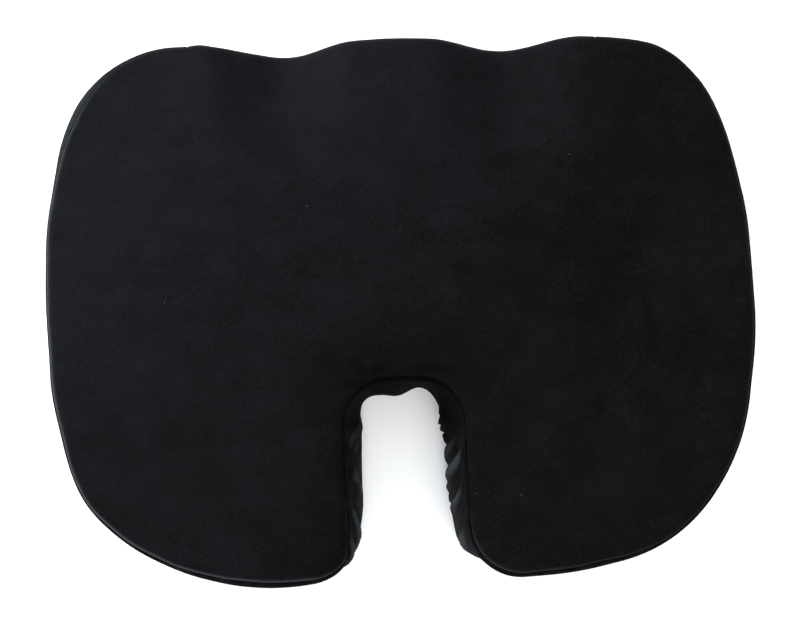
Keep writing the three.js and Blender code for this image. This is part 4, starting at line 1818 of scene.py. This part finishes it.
@dataclass
class Zip:
    """The closed coil zip in the front: tapes, coils, stops, slider, pull and its stitching."""

    shape: CoverShape
    cover: Cover
    pitch: float = 1.75 * MM
    wire: float = 0.34 * MM
    wing: float = 1.1 * MM
    flange: float = 0.9 * MM
    corner: float = 1.8 * MM
    tail_share: float = 0.88
    bridge_wall: float = 0.9 * MM
    bridge_bore: float = 2.4 * MM
    eye_length: float = 2.8 * MM
    eye_width: float = 2.8 * MM
    neck_share: float = 0.87
    stitch: float = 3.1 * MM
    thread: float = 0.24 * MM
    stitch_share: float = 0.82  # of the pitch, the rest is the gap between two stitches
    hem_to_stitch: float = 2.6 * MM
    cord: tuple[float, float] = (1.2 * MM, 0.15 * MM)  # width and swell of the tape's inner edge
    coil_sides: int = 5
    coil_steps: int = 10  # rings in each turn
    pin_to_face: float = 0.9 * MM
    flange_reach: float = 2.15 * MM
    wedge_length: float = 3.0 * MM
    wedge_half: float = 1.0 * MM
    wedge_inset: float = 0.3 * MM
    wedge_tip: float = 0.12  # height of the wedge's ends, as a share of its middle's
    face_rim: tuple[float, float] = (0.8 * MM, 0.22 * MM)  # width and rise of the front wing's rim
    back_rim: tuple[float, float] = (0.9 * MM, -0.15 * MM)
    stop_rim: tuple[float, float] = (0.35 * MM, -0.18 * MM)
    bridge_width: float = 2.0 * MM
    bridge_foot: float = 1.0 * MM
    neck_length: float = 4.2 * MM
    grip_margin: float = 1.6 * MM
    grip_rim: float = 0.75 * MM
    grip_dish: tuple[float, float] = (0.18 * MM, -0.2 * MM)
    tip_radius: float = 1.5 * MM
    stop_bevel: float = 0.5 * MM
    cast_bevel: float = 0.16 * MM
    guard_half: float = 140 * MM
    guard_width: float = 26 * MM
    guard_depth: float = 5.6 * MM

    def __post_init__(self) -> None:
        """Reads the places of the slider and of the zip's centre line."""
        self.slider_low, self.slider_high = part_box("zip_slider")
        self.pull_low, self.pull_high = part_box("zip_pull")
        self.middle = (self.slider_low.z + self.slider_high.z) / 2
        self.pivot = next(j["pos_m"] for j in frame["joints"] if j["name"] == "pull_hinge")

    def tape(self, name: str, node: str, side: float) -> bpy.types.Object:
        """Makes one tape with its corded inner edge.

        Args:
            name: The piece's name.
            node: The frame's node it stands for.
            side: 1 for the upper tape, -1 for the lower.

        Returns:
            The piece.
        """
        low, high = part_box(node)
        back, front = low.y, high.y
        inner, outer = (low.z, high.z) if side > 0 else (high.z, low.z)
        width, swell = self.cord
        section = [
            (back, outer),
            (back, inner + side * width),
            (back - swell, inner + side * width / 2),
            (back, inner),
            (front, inner),
            (front + swell, inner + side * width / 2),
            (front, inner + side * width),
            (front, outer),
        ]
        places = np.linspace(low.x, high.x, 110)
        ripple = 0.06 * MM * np.sin(places * 310)
        run = np.array([[(x, y + lift, z) for y, z in section] for x, lift in zip(places, ripple)])
        return rings_mesh(name, [run])

    def coil(self, name: str, node: str, phase: float) -> bpy.types.Object:
        """Makes one coil as a real spiral of monofilament.

        Args:
            name: The piece's name.
            node: The frame's node it stands for.
            phase: Shift along the zip, in turns.

        Returns:
            The piece.
        """
        low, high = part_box(node)
        turns = (high.x - low.x - 2 * self.wire) / self.pitch - 0.5
        middle_y, middle_z = (low.y + high.y) / 2, (low.z + high.z) / 2
        reach_y = (high.y - low.y) / 2 - self.wire
        reach_z = (high.z - low.z) / 2 - self.wire
        angles = np.linspace(0.0, 2 * np.pi * turns, int(turns * self.coil_steps))
        turn = 2 * np.pi * np.arange(self.coil_sides) / self.coil_sides
        rings = []
        for angle in angles:
            x = low.x + self.wire + self.pitch * (angle / (2 * math.pi) + phase)
            c, s = math.cos(angle), math.sin(angle)
            centre = np.array([x, middle_y + reach_y * c, middle_z + reach_z * s])
            radial = np.array([0.0, c * reach_z, s * reach_y])
            radial /= np.linalg.norm(radial)
            ring = np.outer(np.cos(turn), radial) + np.outer(np.sin(turn), (1, 0, 0))
            rings.append(centre + self.wire * ring)
        return rings_mesh(name, [np.array(rings)])

    def stop(self, name: str, node: str) -> bpy.types.Object:
        """Makes a crimped stop.

        Args:
            name: The piece's name.
            node: The frame's node it stands for.

        Returns:
            The piece.
        """
        low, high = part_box(node)
        bench = self.block(name, low, high)
        bench.pick(Pick.EDGE, lambda middle, run: abs(run.x) > 0.9 * run.length)
        bpy.ops.mesh.bevel(offset=self.stop_bevel, segments=3)
        bench.pick(Pick.FACE, lambda middle, normal: normal.y > 0.95)
        bpy.ops.mesh.inset(thickness=self.stop_rim[0], depth=self.stop_rim[1])
        piece = bench.done(50)
        self.bevel(piece, 0.12 * MM, 40)
        return piece

    @staticmethod
    def bevel(piece: bpy.types.Object, width: float, angle: float) -> None:
        """Bevels the edges of a piece that bend by more than `angle` degrees."""
        limit = math.radians(angle)
        modify(piece, "BEVEL", width=width, segments=2, limit_method="ANGLE", angle_limit=limit)

    def block(self, name: str, low: Sequence[float], high: Sequence[float]) -> Bench:
        """A block between two corners, open for shaping.

        Args:
            name: The piece's name.
            low: Its lowest corner.
            high: Its highest corner.

        Returns:
            The block on its bench.
        """
        low, high = Vector(low), Vector(high)
        middle, size = (low + high) / 2, high - low
        return Bench(name, bpy.ops.mesh.primitive_cube_add, size=1.0, location=middle, scale=size)

    def wing_plate(self, name: str, back: float, front: float) -> Bench:
        """One tapered wing of the slider with rounded corners, between two depths.

        Args:
            name: The piece's name.
            back: Depth of its back.
            front: Depth of its front.

        Returns:
            The wing on its bench.
        """
        low, high = self.slider_low, self.slider_high
        bench = self.block(name, (low.x, back, low.z), (high.x, front, high.z))
        bench.pick(Pick.VERTEX, lambda place, normal: place.x > high.x - 0.1 * MM)
        centre = (high.x, back, self.middle)
        narrow(self.tail_share, centre)
        bench.pick(Pick.EDGE, lambda middle, run: abs(run.y) > 0.9 * run.length)
        bpy.ops.mesh.bevel(offset=self.corner, segments=5)
        return bench

    def slider(self) -> bpy.types.Object:
        """Makes the slider: two wings, side flanges, the wedge between them and the bridge.

        Returns:
            The piece.
        """
        face = self.pivot[1] - self.pin_to_face
        front = self.wing_plate("zip_runner", face - self.wing, face)
        front.pick(Pick.FACE, lambda middle, normal: normal.y < -0.9)
        bpy.ops.mesh.inset(thickness=self.flange)
        half = (self.slider_high.z - self.slider_low.z) / 2 - self.flange
        front.pick(
            Pick.FACE, lambda middle, normal: normal.y < -0.9 and abs(middle.z - self.middle) > half * 0.93
        )
        extrude(0, -self.flange_reach, 0)
        front.pick(Pick.FACE, lambda middle, normal: normal.y > 0.9)
        bpy.ops.mesh.inset(thickness=self.face_rim[0], depth=self.face_rim[1])
        runner = front.done(40)
        back = self.wing_plate("runner_back", self.slider_low.y, self.slider_low.y + self.wing)
        back.pick(Pick.FACE, lambda middle, normal: normal.y < -0.9)
        bpy.ops.mesh.inset(thickness=self.back_rim[0], depth=self.back_rim[1])
        return self.rounded(join([runner, back.done(40), self.wedge(), self.bridge(face)]))

    def wedge(self) -> bpy.types.Object:
        """Makes the slider's wedge, a diamond post between its wings.

        Returns:
            The piece.
        """
        start = self.slider_low.x + self.wedge_inset
        low = (start, self.slider_low.y + 0.5 * MM, self.middle - self.wedge_half)
        high = (start + self.wedge_length, self.pivot[1] - 1.4 * MM, self.middle + self.wedge_half)
        bench = self.block("runner_wedge", low, high)
        bench.pick(Pick.EDGE, lambda middle, run: abs(run.x) > 0.9 * run.length)
        bpy.ops.mesh.subdivide(number_cuts=1)
        centre = (start + self.wedge_length / 2, low[1], self.middle)
        bench.pick(Pick.VERTEX, lambda place, normal: abs(place.x - centre[0]) > 0.5 * MM)
        narrow(self.wedge_tip, centre)
        return bench.done(30)

    def bridge(self, face: float) -> bpy.types.Object:
        """Makes the arch that holds the pull, spun round the pull's pin.

        Args:
            face: Depth of the front wing's face.

        Returns:
            The piece.
        """
        x, z = self.pivot[0], self.pivot[2]
        radius = (self.bridge_bore + self.bridge_wall) / 2
        bench = Bench(
            "runner_bridge",
            bpy.ops.mesh.primitive_plane_add,
            size=1.0,
            location=(x - radius, face - 0.4 * MM, z),
            rotation=(-math.pi / 2, 0.0, 0.0),
            scale=(self.bridge_wall, self.bridge_width, 1.0),
        )
        bench.pick(Pick.FACE, lambda middle, normal: True)
        extrude(0, self.bridge_foot, 0)
        bpy.ops.mesh.spin(steps=14, angle=-math.pi, center=(x, face + 0.6 * MM, z), axis=(0.0, 0.0, 1.0))
        extrude(0, -self.bridge_foot, 0)
        return bench.done(40)

    def rounded(self, piece: bpy.types.Object) -> bpy.types.Object:
        """Rounds the cast edges of a metal piece.

        Args:
            piece: The piece.

        Returns:
            The same piece.
        """
        self.bevel(piece, self.cast_bevel, 38)
        select_only(piece)
        bpy.ops.object.shade_smooth_by_angle(angle=math.radians(50))
        return piece

    def pull(self) -> bpy.types.Object:
        """Makes the pull: an eye round the bridge, a neck and a dished grip.

        Returns:
            The piece.
        """
        low, high = self.pull_low, self.pull_high
        eye = self.pivot[0] + 0.5 * MM
        slot_end = eye + self.eye_length
        half_slot = self.eye_width / 2
        grip = (slot_end + self.neck_length, high.x - self.grip_margin)
        bench = self.block("zip_tab", low, high)
        cuts = [((x, 0, 0), (1, 0, 0)) for x in (eye, slot_end, slot_end + 1.2 * MM, *grip)]
        cuts += [((0, 0, self.middle + side * half_slot), (0, 0, 1)) for side in (-1, 1)]
        for centre, normal in cuts:
            bpy.ops.mesh.select_all(action="SELECT")
            bpy.ops.mesh.bisect(plane_co=centre, plane_no=normal)
        outer = high.z - 0.1 * MM - self.middle
        neck = slot_end + 1.3 * MM
        bench.pick(Pick.VERTEX, lambda place, normal: place.x < neck and abs(place.z - self.middle) > outer)
        centre = (low.x, low.y, self.middle)
        narrow(self.neck_share, centre)
        bench.pick(
            Pick.FACE,
            lambda middle, normal: abs(normal.y) > 0.9
            and eye < middle.x < slot_end
            and abs(middle.z - self.middle) < half_slot,
        )
        bpy.ops.mesh.bridge_edge_loops()
        for side in (-1, 1):
            bench.pick(
                Pick.FACE, lambda middle, normal: normal.y * side > 0.9 and grip[0] < middle.x < grip[1]
            )
            bpy.ops.mesh.inset(thickness=self.grip_rim, depth=0.0)
            bpy.ops.mesh.inset(thickness=self.grip_dish[0], depth=self.grip_dish[1])
        bench.pick(
            Pick.EDGE,
            lambda middle, run: abs(run.y) > 0.9 * run.length
            and middle.x > high.x - 0.1 * MM
            and abs(middle.z - self.middle) > outer,
        )
        bpy.ops.mesh.bevel(offset=self.tip_radius, segments=5)
        return self.rounded(bench.done(40))

    def stitches(self) -> bpy.types.Object:
        """Makes the two rows of topstitching along the hems, each stitch a drawn-in loop of thread.

        Returns:
            The piece.
        """
        outline = self.shape.outline
        half = self.cover.slot_half - 3 * MM
        low, high = self.cover.slot
        runs = []
        count = 6  # rings along a stitch, and sides of the thread
        share = np.linspace(0.0, 1.0, count)
        rise = (np.sin(np.pi * share) * 0.55 - 0.28) * MM
        turn = 2 * np.pi * np.arange(count) / count
        ring = self.thread * np.column_stack([np.zeros(count), np.cos(turn), np.sin(turn)])
        for z in (high + self.hem_to_stitch, low - self.hem_to_stitch):
            for x in np.arange(-half, half, self.stitch):
                along = outline.front_at(x) - share * self.stitch * self.stitch_share
                line = self.shape.wall(along, np.full(count, z))
                line[:, 1] += rise
                runs.append(line[:, None, :] + ring[None, :, :])
        return rings_mesh("hem_stitches", runs)

    def guard(self) -> bpy.types.Object:
        """Makes the strip of cloth that lines the foam behind the zip.

        Returns:
            The piece.
        """
        outline = self.shape.outline
        start, end = outline.front_at(self.guard_half), outline.front_at(-self.guard_half)
        along = np.linspace(start, end, 110)
        rows = []
        for share in np.linspace(0.5, -0.5, 7):
            heights = np.full(len(along), self.middle + share * self.guard_width)
            rows.append(self.shape.wall(along, heights, self.guard_depth))
        stack = np.stack(rows, axis=1)
        piece = mesh_object("zip_guard", stack.reshape(-1, 3), grid_faces(len(along), stack.shape[1]))
        return self.cover.finish_panel(piece, 0.5 * MM)

    def build(self) -> None:
        """Builds the zip, dresses it and puts each piece on its body."""
        tape_cloth = Knit("tape_weave", 420.0, (0.007, 0.007, 0.008), (0.016, 0.016, 0.017)).build()
        nylon = Nylon("coil_nylon").build()
        thread = Nylon("black_thread", (0.0055, 0.0055, 0.006), 0.66).build()
        enamel = BlackEnamel().build()
        for half, side, phase in (("upper", 1.0, 0.5), ("lower", -1.0, 0.0)):
            tape = self.tape(f"tape_{half}", f"zip_tape_{half}", side)
            place(tape, Body.CUSHION, Slot.TAPE, tape_cloth, f"zip_tape_{half}")
            coil = self.coil(f"coil_{half}", f"zip_coil_{half}", phase)
            place(coil, Body.CUSHION, Slot.NYLON, nylon, f"zip_coil_{half}")
            stop = self.stop(f"end_stop_{half}", f"zip_top_stop_{half}")
            place(stop, Body.CUSHION, Slot.NYLON, nylon, f"zip_top_stop_{half}")
        place(self.stop("end_stop", "zip_bottom_stop"), Body.CUSHION, Slot.NYLON, nylon, "zip_bottom_stop")
        place(self.slider(), Body.SLIDER, Slot.METAL, enamel, "zip_slider")
        place(self.pull(), Body.PULL, Slot.METAL, enamel, "zip_pull")
        place(self.stitches(), Body.CUSHION, Slot.VELOUR, thread)
        guard = self.guard()
        place(guard, Body.CUSHION, Slot.TAPE, tape_cloth)


# ---- Studio ----


@dataclass
class Lamp:
    """A soft rectangular lamp that looks at the cushion."""

    name: str
    place: tuple[float, float, float]
    size: float
    power: float
    tint: tuple[float, float, float] = (1.0, 1.0, 1.0)

    def build(self) -> None:
        """Makes the lamp."""
        data = bpy.data.lights.new(self.name, "AREA")
        data.shape, data.size = "SQUARE", self.size
        data.energy, data.color = self.power, self.tint
        lamp = bpy.data.objects.new(self.name, data)
        lamp.location = self.place
        lamp.rotation_euler = (-Vector(self.place)).to_track_quat("-Z", "Y").to_euler()
        bpy.context.scene.collection.objects.link(lamp)


@dataclass
class Studio:
    """Pale floor, soft light and the camera."""

    azimuth: float = -1.9
    elevation: float = 79.0
    distance: float = 1.0
    target: tuple[float, float, float] = (0.0, 0.0, 0.035)
    lens: float = 69.0
    sky: tuple[float, float, float] = (0.93, 0.965, 1.0)
    sky_strength: float = 1.55
    floor_drop: float = 0.2 * MM
    lamps: tuple[Lamp, ...] = (
        Lamp("key", (-1.5, 1.0, 1.0), 0.9, 62.0),
        Lamp("fill", (0.3, -1.5, 1.6), 1.3, 30.0, (1.0, 0.985, 0.97)),
    )

    def floor(self) -> None:
        """Makes the pale floor."""
        drop = (0, 0, -self.floor_drop)
        floor = Bench("floor", bpy.ops.mesh.primitive_plane_add, size=5.0, location=drop).done()
        s = Shader("pale_floor")
        haze = s.noise(3.0, 3.0)
        s.set(Base_Color=s.blend(haze, (0.84, 0.84, 0.84), (0.88, 0.88, 0.88)), Roughness=haze * 0.1 + 0.6)
        s.set(Specular_IOR_Level=0.1)
        floor.data.materials.append(s.material)

    def camera(self) -> None:
        """Makes the camera."""
        a, e = math.radians(self.azimuth), math.radians(self.elevation)
        back = Vector((math.sin(a) * math.cos(e), -math.cos(a) * math.cos(e), math.sin(e)))
        data = bpy.data.cameras.new("camera")
        data.lens, data.sensor_width = self.lens, 36.0
        camera = bpy.data.objects.new("camera", data)
        camera.location = Vector(self.target) + back * self.distance
        camera.rotation_mode = "QUATERNION"
        camera.rotation_quaternion = (-back).to_track_quat("-Z", "Y")
        bpy.context.scene.collection.objects.link(camera)
        bpy.context.scene.camera = camera

    def build(self) -> None:
        """Sets up the whole studio."""
        scene = bpy.context.scene
        scene.world = bpy.data.worlds.new("soft_sky")
        scene.world.use_nodes = True
        sky = scene.world.node_tree.nodes["Background"]
        sky.inputs["Color"].default_value = (*self.sky, 1.0)
        sky.inputs["Strength"].default_value = self.sky_strength
        scene.view_settings.view_transform = "Standard"
        self.floor()
        self.camera()
        for lamp in self.lamps:
            lamp.build()


def main() -> None:
    """Builds the studio, the cover with its foam, and the zip."""
    logging.basicConfig(level=logging.INFO, format="%(message)s")
    low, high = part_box("side_band")
    outline = Outline(high.x - low.x, high.y - low.y)
    shape = CoverShape(outline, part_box("top_panel")[1].z)
    Studio().build()
    cover = Cover(shape)
    cover.build()
    Zip(shape, cover).build()


if __name__ == "__main__":
    main()
